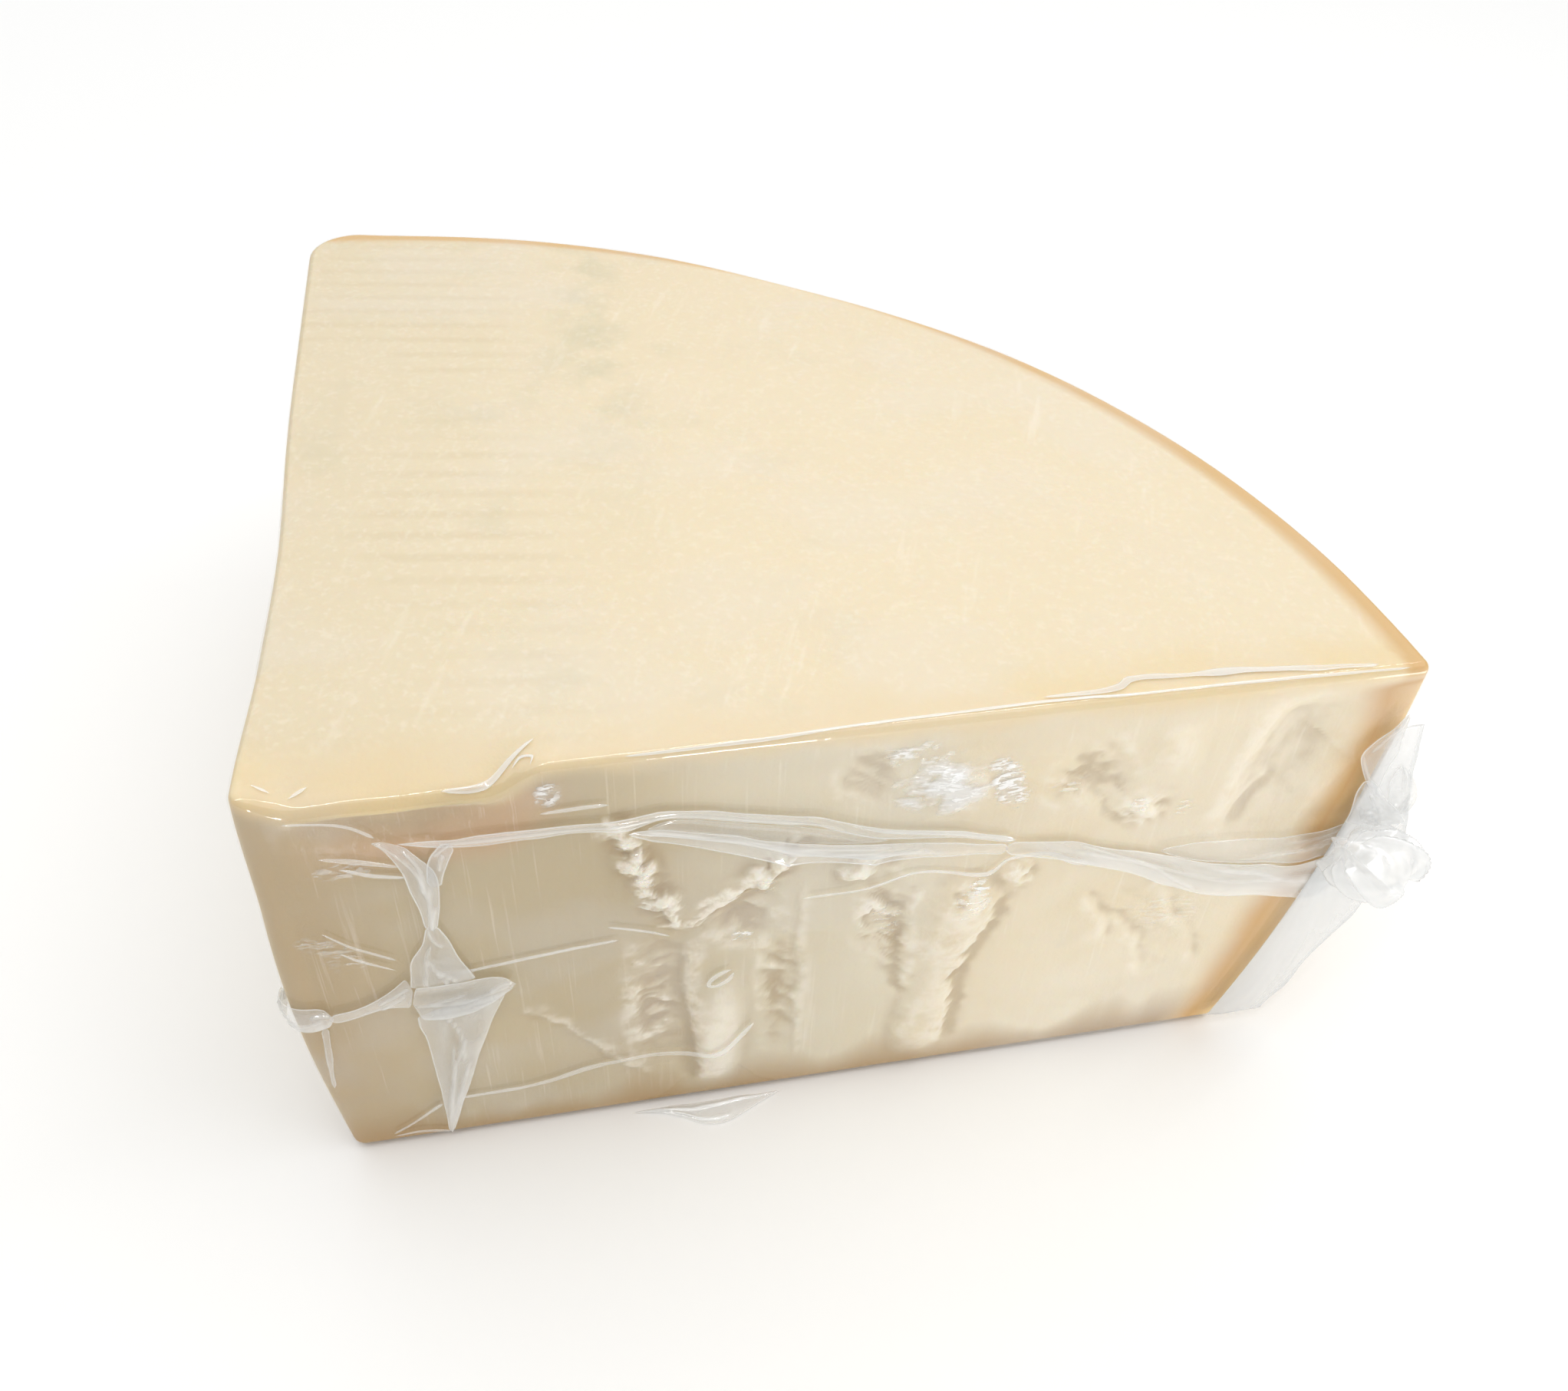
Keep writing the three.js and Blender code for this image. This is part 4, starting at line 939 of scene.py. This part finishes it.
def over_walls(along, z, lift):
    """Points over the front side, the cutting edge or the left side, lift away from the film there.

    along is measured round the cutting edge, positive over the front and negative over the left side; round
    the edge itself it becomes an angle.
    """
    straight = np.abs(along) - APEX_ARC / 2
    face = APEX_ROUND + np.maximum(straight, 0)
    front = np.stack([face, -lift - film_height(FRONT_FILM, face, z), z], axis=-1)
    left_height = film_height(LEFT_FILM, face, z) + left_swell(face, z)
    left = np.stack([-lift - left_height, face, z], axis=-1)
    angle = -0.75 * np.pi + along / APEX_ROUND
    share = smoothstep(APEX_ARC / 2, -APEX_ARC / 2, along)
    reach = APEX_ROUND + lift + share * left_swell(APEX_ROUND, z)
    edge = np.stack([APEX_ROUND + reach * np.cos(angle), APEX_ROUND + reach * np.sin(angle), z], axis=-1)
    flat = np.where((along > 0)[..., None], front, left)
    return np.where((straight <= 0)[..., None], edge, flat)


def over_top(along, depth, lift):
    """Points over the top face, by their place along the front edge and their depth behind it.

    Next to the edge they go down with its rounding, r - sqrt(r^2 - d^2), where d is how far they are on it.
    """
    plan = np.stack([along, depth], axis=-1)
    radius = TOP_EDGE_ROUND - SKIN_SINK
    on_round = np.clip(TOP_EDGE_ROUND - depth, 0, radius)
    drop = radius - np.sqrt(radius ** 2 - on_round ** 2)
    return np.stack([along, depth, HEIGHT - SKIN_SINK - top_sag(plan) - drop + lift], axis=-1)


def smooth_path(stations, count):
    """A Catmull-Rom curve through the stations, sampled evenly by station number."""
    knots = np.array(stations, float)
    padded = np.vstack([2 * knots[0] - knots[1], knots, 2 * knots[-1] - knots[-2]])
    at = np.linspace(0, len(knots) - 1, count)
    i = np.minimum(at.astype(int), len(knots) - 2)
    t = (at - i)[:, None]
    a, b, c, d = (padded[i + k] for k in range(4))
    return b + 0.5 * t * (c - a + t * (2 * a - 5 * b + 4 * c - d + t * (3 * (b - c) + d - a)))


def sheet(name, stations, surface=over_walls, lift=FILM_GAP, thin=0.12, folds=3, fold_height=FOLD["height"],
          crumple=0.0, milk=0.3, rim_milk=0.9, sides=44, steps=150, seed=1):
    """A flat gather of film laid over a surface between two edges.

    Each station is [along, up] of one edge and then of the other, and smooth curves run through them. The
    section is a closed flat loop: the place across is cos a, and it stands out by sin a x (half the
    thickness, and a bead at each folded rim) from a middle raised by long folds, each a bell curve about a
    line from a random place at one height of the piece to another place further on, by slow waves, and by the
    facets of a crumple.
    """
    path = smooth_path(stations, steps + 1)
    angle = 2 * np.pi * np.arange(sides) / sides
    place = np.cos(angle)[None, :]
    t = np.linspace(0, 1, steps + 1)[:, None]
    one, other = path[:, None, :2], path[:, None, 2:]
    spine = (path[:, :2] + path[:, 2:]) / 2
    run = np.concatenate([[0], np.cumsum(np.hypot(*np.diff(spine, axis=0).T))])[:, None]
    half_width = np.hypot(*(path[:, 2:] - path[:, :2]).T)[:, None] / 2
    ends = np.sqrt(smoothstep(0, 1.5, run) * smoothstep(run[-1, 0], run[-1, 0] - 1.5, run))
    across = place * np.maximum(ends, 0.05)
    across = across * (1 + 0.25 / np.maximum(half_width, 1) * value_noise(run / 5, np.sign(place) * 9, seed))
    to_edge = (1 - np.abs(place)) * half_width
    rim = np.exp(-(to_edge / RIM["width"]) ** 2)
    middle = 0.12 * value_noise(run / 9, place * half_width / 3, seed + 1)
    haze = milk * (0.7 + 0.45 * layered_noise(run / 20, place * half_width / 3, seed + 2, 2))
    for fold in range(folds):
        first, last, start, length = (lattice_value(seed, fold, key) for key in range(4))
        start, length = 1.1 * start - 0.3, 0.35 + 0.5 * length
        passed = (t - start) / length
        line = mix(1.7 * first - 0.85, 1.7 * last - 0.85, passed)
        line = line + 0.12 * value_noise(run / 12, 0 * t, seed + fold)
        felt = smoothstep(0, 0.15, passed) * smoothstep(1, 0.85, passed) * smoothstep(1, 0.8, np.abs(line))
        bell = felt * np.exp(-((place - line) * half_width / FOLD["width"]) ** 2)
        middle = middle + fold_height * bell
        haze = haze + 0.5 * rim_milk * bell
        side = smoothstep(0, 0.4, (place - line) * half_width) * felt
        haze = haze + 0.25 * milk * side
    facet, _ = facets(run / 2.6, place * half_width / 1.6, seed + 5)
    middle = (middle + crumple * facet) * smoothstep(0, 0.8, to_edge)
    half = thin / 2 + RIM["height"] / 2 * rim * smoothstep(0.1, 1.6, half_width)
    out = lift + (RIM["height"] + thin) / 2 + (middle + half * np.sin(angle)[None, :]) * ends
    at = (one + other) / 2 + (other - one) / 2 * across[..., None]
    points = surface(at[..., 0], at[..., 1], out)
    caps = [np.repeat(points[end].mean(axis=0)[None], sides, axis=0)[None] for end in (0, -1)]
    haze = np.clip(np.maximum(haze, rim_milk * rim), 0, 1)
    return closed_piece(name, np.concatenate([caps[0], points, caps[1]]),
                        milk=np.concatenate([haze[:1], haze, haze[-1:]]))


def strip(stations):
    """The two edges of a strip from stations of [along, up, width] along its middle."""
    middle = np.array(stations, float)
    heading = np.gradient(middle[:, :2], axis=0)
    heading /= np.hypot(*heading.T)[:, None]
    aside = np.stack([-heading[:, 1], heading[:, 0]], axis=-1) * middle[:, 2:] / 2
    return np.hstack([middle[:, :2] - aside, middle[:, :2] + aside]).tolist()


gathers = [
    # the seam: one strand along the top, one below it, and the broad ribbon that they end in
    sheet("film_seam_upper", strip([
        [23.5, 97.4, 0.4], [31.6, 96.4, 1.8], [38, 96.2, 2.8], [50, 96.2, 2.2], [62, 96, 2.6], [72, 96.6, 2],
        [85, 93.2, 2.6], [98, 89.6, 2.2], [110, 84.6, 2.8], [125, 81.6, 2.2], [138, 77.4, 1.4]]),
        folds=3, milk=0.34, steps=170, sides=36, seed=11),
    sheet("film_seam_lower", strip([
        [63, 93.8, 0.8], [70, 91.4, 3], [80, 87.4, 4.4], [92, 83, 4.6], [105, 80, 4.8], [120, 78, 4.4],
        [137, 75, 2.6]]),
        folds=4, milk=0.28, steps=170, sides=48, seed=13),
    sheet("film_seam_web", [
        [67, 94.6, 66, 93.8], [73, 95.2, 71, 92.8], [85, 91.6, 80, 89.8], [98, 88, 92, 85.7],
        [106, 84.8, 103, 83], [112, 82.6, 111.6, 82]],
        folds=3, fold_height=0.15, milk=0.06, rim_milk=0.4, steps=120, seed=37),
    sheet("film_seam_ribbon", [
        [136.6, 77.2, 136, 73.8], [150, 74.7, 150, 69], [160, 70.8, 160, 64.6], [172.4, 66.1, 169, 59.8],
        [180, 62.9, 178.6, 54], [187.6, 60.9, 187.4, 50.6], [195, 59.8, 196, 49.5], [202, 58.2, 204, 47.2],
        [209, 59, 211, 45.6], [214, 60, 216, 49]],
        folds=3, fold_height=0.22, milk=0.62, steps=160, sides=56, seed=17),
    sheet("film_second_web", [
        [170, 68.6, 171.4, 67.2], [178, 69.4, 179, 63.8], [188, 68.6, 187.6, 61.6], [197, 67.6, 196, 60.4],
        [206, 68.4, 203.4, 59], [213, 70.4, 211, 60]],
        folds=3, fold_height=0.22, milk=0.1, rim_milk=0.6, steps=90, seed=19),
    # the pleat, its twisted neck, the broad part below it, the flag over it and the tapering tail
    sheet("film_pleat_neck", [
        [18.4, 99.2, 24.4, 97.4], [21, 96, 26.6, 93.6], [22.7, 91.5, 29, 89.4], [23.9, 86, 29.2, 84.6],
        [24.6, 80, 28.3, 79.6], [25.3, 73.6, 27.4, 73.6]],
        folds=4, milk=0.42, steps=110, sides=48, seed=23),
    sheet("film_pleat_prong", [
        [31.6, 97.4, 33.4, 95.4], [29, 94.2, 31.6, 92.4], [27.6, 90.8, 30.3, 89], [26.8, 86, 29.4, 85]],
        folds=2, milk=0.34, steps=60, sides=36, seed=25),
    sheet("film_pleat_waist", [
        [25.4, 75.4, 27.2, 75.4], [23.6, 70, 28.6, 70.6], [21.6, 66, 29.6, 67], [20.3, 61, 30.8, 61.6],
        [19.6, 56, 32.6, 56.4]],
        folds=4, milk=0.34, steps=90, sides=48, seed=29),
    sheet("film_pleat_tail", [
        [19.6, 48, 37.6, 52.4], [20, 42, 34.6, 45], [20.3, 36, 32.4, 38.4], [20.5, 29, 29.6, 30],
        [20.6, 20.7, 26.8, 21], [20.5, 11.9, 23.9, 12], [20.3, 4.4, 21.6, 4.2]],
        folds=5, milk=0.46, steps=130, sides=52, seed=31),
    sheet("film_flag", [
        [19.7, 57.4, 19.6, 46.6], [24, 57, 24, 45.6], [29, 57.2, 29.5, 46], [33.5, 57.6, 34, 48.6],
        [37, 57.2, 37.6, 51.8], [39.4, 55.2, 39.6, 53.4]],
        lift=FILM_GAP + 0.3, folds=3, crumple=0.1, milk=0.5, steps=110, sides=56, seed=41),
    # the side seam: a web from the pleat, a pouch round the cutting edge and a fold along the left side
    sheet("film_side_web", [
        [20.4, 61.5, 20, 50.6], [15, 56, 15, 51.4], [9, 52.4, 9.4, 49.8], [3.6, 51.4, 3.8, 48.8]],
        folds=4, milk=0.3, steps=80, sides=44, seed=43),
    sheet("film_side_pouch", [
        [4.6, 52.4, 4.6, 48.4], [1.4, 54.8, 1.6, 47.6], [-2, 55.6, -1.8, 48], [-6, 54, -6, 49.4]],
        lift=FILM_GAP, folds=4, crumple=0.2, milk=0.6, steps=60, sides=44, seed=47),
    sheet("film_side_seam", strip([
        [-4, 51.6, 3.4], [-16, 52, 2.4], [-60, 57, 3], [-110, 60, 2.6], [-136, 60.6, 1.6], [-150, 61, 0.3]]),
        folds=5, milk=0.45, steps=150, sides=32, seed=53),
]
# thin creases of the taut film round about; the last is a ring of milky film on the lobe, a painted highlight
# for the glint there
CREASES = [
    [[29, 59.3, 0.9], [40, 60.8, 1.0], [50, 61.8, 0.9], [60, 62.6, 0.7]],
    [[24, 16, 0.9], [39, 16.6, 1.1], [51, 19.5, 1.4], [60, 21.3, 1.0], [72, 21.5, 1.4], [80, 22, 2.2],
     [87, 29, 0.9]],
    [[58, 67, 0.5], [66, 64, 0.8], [70, 62, 0.5]],
    [[96, 68, 0.7], [110, 69, 0.9], [120, 71, 0.8], [133, 68, 1.4], [138, 71.6, 1.0], [146, 71.4, 1.2],
     [153, 67.4, 1.6], [160, 66, 0.8]],
    [[9, 6, 0.6], [14, 9.5, 0.8], [20.4, 14.8, 1.0]],
    [[9, 5, 0.5], [15, 5.4, 0.8], [21, 3.8, 0.9]],
    [[6, 105, 0.5], [15, 103, 0.8], [20, 99, 0.9]],
    [[10, 95.4, 0.6], [17, 93.6, 1.2], [23, 91.4, 0.7]],
    [[13, 92.4, 0.5], [18, 90, 0.9], [24, 88.4, 0.6]],
    [[48, 100.6, 0.6], [54, 100.9, 1.0], [60, 100.8, 0.6]],
    [[2.4, 47.5, 1.6], [1.8, 40, 1.1], [1.2, 33, 0.8], [0.8, 26.6, 0.5]],
    [[7, 76, 0.4], [12, 71, 0.6], [18.6, 66, 0.5]],
    [[9, 70, 0.4], [13, 66.5, 0.7], [18, 63, 0.5]],
    [[82.2, 48.6, 0.5], [80.2, 48, 1.2], [78, 46.4, 1.3], [77.4, 44.6, 1.0], [79, 44.2, 0.8],
     [81.4, 45.6, 1.1], [82.6, 47.6, 0.6]],
]
for number, stations in enumerate(CREASES):
    gathers.append(sheet(
        f"film_crease_{number + 1}", strip(stations), lift=-0.05, folds=0, milk=0.5, rim_milk=0.5, steps=50,
        sides=12, seed=60 + number))
# milky lines of film along the top. The sharp one along the front top edge is a painted highlight, the glint
# of a lamp along it; the thicker one behind it is a crease of the film; the two where the edge sags and the
# two more where it rises again are painted highlights too, for glints there
TOP_HIGHLIGHT_LINES = [
    [[64, 1.1, 0.2], [78, 1.2, 0.5], [92, 1.4, 0.5], [106, 1.9, 0.5], [127, 2.2, 0.6], [142, 2.4, 0.6],
     [157, 1.9, 0.5], [174, 1.8, 0.5], [190, 1.6, 0.5], [212, 1.2, 0.3]],
    [[140, 3.5, 0.4], [148, 3.4, 1.2], [154.5, 3.8, 1.6], [157.5, 5.6, 1.8], [162, 5.8, 1.5], [168, 5.2, 1.1],
     [176, 5.0, 1.8], [184, 4.5, 1.3], [191, 3.7, 1.8], [198, 3.0, 1.2], [206, 2.4, 0.8]],
    [[8.1, 3.4, 0.5], [11.2, 5.0, 0.7]],
    [[2.6, 4.8, 0.5], [5.4, 4.0, 0.6]],
    [[33, 1.8, 0.4], [38, 1.7, 0.9], [41.4, 2.4, 1.1], [45, 4.8, 1.1], [49.2, 7.4, 0.6]],
    [[45, 2.8, 0.3], [46.6, 4.2, 0.5], [48.6, 3.4, 0.5], [48.2, 1.8, 0.3]],
]
for number, stations in enumerate(TOP_HIGHLIGHT_LINES):
    gathers.append(sheet(
        f"film_top_highlight_line_{number + 1}", strip(stations), surface=over_top, lift=-0.02, folds=0, milk=0.9,
        rim_milk=0.9, steps=110, sides=14, seed=80 + number))
film_gather_material = film_material("layered_shrink_film", 0.02, 0.55, 0.2, 0.06)
for piece in gathers:
    piece.data.materials.append(film_gather_material)
    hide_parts("film_gathers")

# --------------------------------------------------------------------- tail of the film
# At the heel's front corner the spare film stands out as a web and ends in a crumpled bunch. Held free in the
# air, it lets light through from behind.

FIN = {"low": 5, "high": 97, "root": -5, "reach": 11, "reach_at": 52, "spread": 28,
       "least_low": 8, "least_high": 0.8, "thickness": 0.35, "gap": 1.1, "wave": 1.0, "most_wave": 0.6}
BUNCH = {"centre": (216.5, -7.2, 63.5), "half": (13.6, 5.0, 8.2), "folds": 13, "depth": 0.42, "tilt": -0.65}
BUNCH_GRID = (100, 240)      # points from its neck to its tip, and round it
FIN_GRID = (151, 90)         # points from its top to its foot, and round its section

share = np.linspace(0, 1, FIN_GRID[0])[:, None]
angle = 2 * np.pi * np.arange(FIN_GRID[1])[None, :] / FIN_GRID[1]
level = mix(FIN["high"], FIN["low"], share)
near = ((level - FIN["reach_at"]) / FIN["spread"]) ** 2
reach = mix(FIN["least_high"], FIN["least_low"], share) + FIN["reach"] * np.exp(-near) * (
    1 + 0.12 * value_noise(level / 6, 0.5 + 0 * level, 7))
from_root = (reach - FIN["root"]) / 2 * (1 + np.cos(angle))
wave = FIN["wave"] * smoothstep(0, 6, from_root) * layered_noise(level / 15, from_root / 11, 3, 2)
thick = FIN["thickness"] / 2 * np.sin(angle)
fin_points = np.stack(np.broadcast_arrays(
    heel_radius(level) + FIN["root"] + from_root,
    -FIN["gap"] + np.minimum(wave, FIN["most_wave"]) - thick,
    level), axis=-1)
fin_caps = [np.repeat(fin_points[end].mean(axis=0)[None], FIN_GRID[1], axis=0)[None] for end in (0, -1)]
fin_points = np.concatenate([fin_caps[0], fin_points, fin_caps[1]])
radial = layered_noise(np.arctan2(from_root, level - 60) * 5, from_root / 12, 71, 3)
milky = mix(0.3, 0.64, smoothstep(97, 70, level)) - 0.02 * np.maximum(from_root, 4)
rim = 0.4 * np.exp(-((reach - FIN["root"] - from_root) / 0.8) ** 2)
fin_milk = np.clip(milky + 0.08 * radial + rim, 0, 1)
fin = closed_piece("film_web", fin_points, milk=np.concatenate([fin_milk[:1], fin_milk, fin_milk[-1:]]))

# the bunch: a bag of film whose folds run out from its neck, each sharp along its top and slack beside it
around = 2 * np.pi * np.arange(BUNCH_GRID[1])[None, :] / BUNCH_GRID[1]
polar = np.pi * np.linspace(0, 1, BUNCH_GRID[0])[:, None]
direction = np.stack(np.broadcast_arrays(
    -np.cos(polar), -np.sin(polar) * np.cos(around), -np.sin(polar) * np.sin(around)), axis=-1)
crest_share = np.zeros(BUNCH_GRID)
for fold in range(BUNCH["folds"]):
    start, bend, tall, broad = (lattice_value(91, fold, key) for key in range(4))
    line = 2 * np.pi * (fold + 0.6 * start) / BUNCH["folds"] + 1.3 * (bend - 0.5) * polar
    gap = np.abs((around - line + np.pi) % (2 * np.pi) - np.pi)
    felt = smoothstep(0, 0.5, polar - 0.5 * tall) * smoothstep(np.pi, 2.0 + tall, polar)
    crest_share = np.maximum(crest_share, (0.4 + 0.6 * tall) * felt * np.exp(-gap / (0.08 + 0.12 * broad)))
slack = value_noise(direction[..., 1] * 1.3 + 20, direction[..., 2] * 1.5 + direction[..., 0] * 1.1, 9)
dents = value_noise(direction[..., 1] * 2.6 + 20, direction[..., 2] * 2.8 + direction[..., 0] * 2.2, 10)
bunch_scale = 0.84 + BUNCH["depth"] * crest_share + np.sin(polar) * (0.22 * slack + 0.08 * dents)
bunch_points = direction * BUNCH["half"] * bunch_scale[..., None]
turn = np.array(Matrix.Rotation(-BUNCH["tilt"], 3, "Y"))
bunch_points = bunch_points @ turn.T + BUNCH["centre"]
bunch_milk = np.clip(0.4 + 0.7 * crest_share ** 2 + 0.15 * dents, 0, 1)
bunch = closed_piece("film_bunch", bunch_points, milk=bunch_milk)


def beside_heel(along, z, lift):
    """Points in front of the heel's corner and of the plane that goes on from the front side."""
    return np.stack([along, -lift, z], axis=-1)


# the flap that rises along the corner and twists about its middle, and a loop of film behind it
flap_high = sheet("film_flap_high", [
    [213.9, 101.4, 214.5, 101.2], [212.2, 97.6, 214.8, 98.2], [209.4, 94.6, 215.2, 94.2],
    [207.8, 90.4, 215.8, 89.8], [210.4, 84.3, 215.3, 84.8], [213.4, 79.8, 215.4, 80.2]],
    surface=beside_heel, lift=1.2, folds=3, fold_height=0.25, milk=0.4, steps=70, sides=48, seed=97)
flap_low = sheet("film_flap_low", [
    [210.8, 84.4, 213.2, 83.2], [210, 80.5, 217.4, 77.6], [210.6, 75.2, 222.6, 72.2], [210, 70.4, 226, 67.6]],
    surface=beside_heel, lift=1.7, folds=5, fold_height=0.3, crumple=0.1, milk=0.45, steps=70, sides=52,
    seed=91)
flap_loop = sheet("film_flap_loop", [
    [217.8, 86, 219.4, 85.8], [217.4, 81.2, 223.6, 80.4], [219, 75.7, 225.8, 74.8], [220.6, 71.4, 225.6, 70]],
    surface=beside_heel, lift=0.8, folds=4, crumple=0.15, milk=0.45, steps=60, sides=44, seed=93)
loose_material = film_material("loose_shrink_film", 0.04, 0.75, 0.5, 0.08, "F8F9F9")
# the web gets a greyer copy of the loose film: painted shade, for film seen against the light
web_material = film_material("loose_shrink_film_painted_shade", 0.04, 0.75, 0.35, 0.08, "E3E6E8")
for piece in (fin, bunch, flap_high, flap_low, flap_loop):
    piece.data.materials.append(web_material if piece is fin else loose_material)
    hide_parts("film_tail")

# ----------------------------------------------------------- tab of the film on the table
# The tip of a seam comes out from under the chunk and lies flat, folded once over itself.


def on_table(along, depth, lift):
    """Points over the table in front of the chunk."""
    return np.stack([along, depth, lift], axis=-1)


tab = sheet("film_tab_tip", [
    [61, -0.9, 61, -0.7], [67, -1.9, 67, -0.7], [72, -3.7, 71, -0.7], [76.4, -6.2, 75, -0.8],
    [81.6, -6.2, 81, -0.8], [88, -3.6, 87, -0.8], [94.4, -0.9, 94.4, -0.7]],
    surface=on_table, lift=0.35, folds=4, milk=0.45, rim_milk=0.85, steps=90, sides=40, seed=101)
tab.data.materials.append(film_gather_material)
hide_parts("film_tab")

# --------------------------------------------------------------------- floor and lights
# A white sweep, a large soft light over and behind the chunk, a thin tube over its front edge for crisp lines
# in the film, and a soft fill and a far window in front.

FLOOR_HALF = 4               # metres
WORLD_LIGHT = 0.32           # strength of the plain white surroundings

floor_mesh = bpy.data.meshes.new("floor")
floor_corners = [(FLOOR_HALF * x, FLOOR_HALF * y, 0) for x, y in ((-1, -1), (1, -1), (1, 1), (-1, 1))]
floor_mesh.from_pydata(floor_corners, [], [(0, 1, 2, 3)])
floor = bpy.data.objects.new("floor", floor_mesh)
bpy.context.scene.collection.objects.link(floor)
floor_paint, tree, output = new_material("white_paper")
paper = add(tree, "BsdfPrincipled", {"Base Color": linear("FCFCFB"), "Roughness": 0.8})
tree.links.new(paper.outputs[0], output.inputs["Surface"])
floor_mesh.materials.append(floor_paint)

world = bpy.data.worlds.new("studio")
world.use_nodes = True
background = world.node_tree.nodes["Background"]
background.inputs["Color"].default_value = (1, 1, 1, 1)
background.inputs["Strength"].default_value = WORLD_LIGHT
bpy.context.scene.world = world


def soft_box(name, place, target, width, depth, power):
    """A rectangular area light of the given size in metres that points at the target."""
    light = bpy.data.lights.new(name, "AREA")
    light.shape, light.size, light.size_y, light.energy = "RECTANGLE", width, depth, power
    lamp = bpy.data.objects.new(name, light)
    lamp.location = place
    lamp.rotation_euler = (Vector(target) - Vector(place)).to_track_quat("-Z", "Y").to_euler()
    bpy.context.scene.collection.objects.link(lamp)


soft_box("ceiling", (0, 1.9, 2.2), (0, 1.9, 0), 6, 7, 124)
soft_box("tube_over", (0.1, -0.26, 0.85), (0, -0.08, 0.1), 1.6, 0.022, 2.0)
# the fill stands lower than the top, which would mirror it
soft_box("front_right", (0.38, -0.36, 0.056), (0.1, -0.1, 0.056), 0.2, 0.1, 0.4)
soft_box("window", (0.15, -1.5, 0.1), (0, -0.1, 0.06), 0.18, 0.18, 2.2)

# ------------------------------------------------------------------------------- camera
# A short lens looks down over the front side, from a little left of the chunk.

PICTURE = (2044, 1813)       # pixels
FOCAL = 1776.95              # pixels
SENSOR = 36                  # millimetres
AZIMUTH, ELEVATION, ROLL = np.radians((-12.94, 42.5, 2.72))
EYE = np.array([53.47, -164.04, 276.46])    # millimetres of the wedge frame

camera_data = bpy.data.cameras.new("camera")
camera_data.sensor_width = SENSOR
camera_data.lens = FOCAL / PICTURE[0] * SENSOR
camera_data.clip_start, camera_data.clip_end = 0.01, 20
camera = bpy.data.objects.new("camera", camera_data)
behind = Vector((
    np.sin(AZIMUTH) * np.cos(ELEVATION), -np.cos(AZIMUTH) * np.cos(ELEVATION), np.sin(ELEVATION)))
level_right = Vector((np.cos(AZIMUTH), np.sin(AZIMUTH), 0))
level_up = behind.cross(level_right)
right = np.cos(ROLL) * level_right + np.sin(ROLL) * level_up
up = -np.sin(ROLL) * level_right + np.cos(ROLL) * level_up
turn = Matrix((right, up, behind)).transposed().to_4x4()
camera.matrix_world = Matrix.Translation(Vector((EYE + WEDGE_ORIGIN) * MM)) @ turn
bpy.context.scene.collection.objects.link(camera)
bpy.context.scene.camera = camera
bpy.context.scene.view_settings.view_transform = "Standard"

bpy.context.view_layer.update()
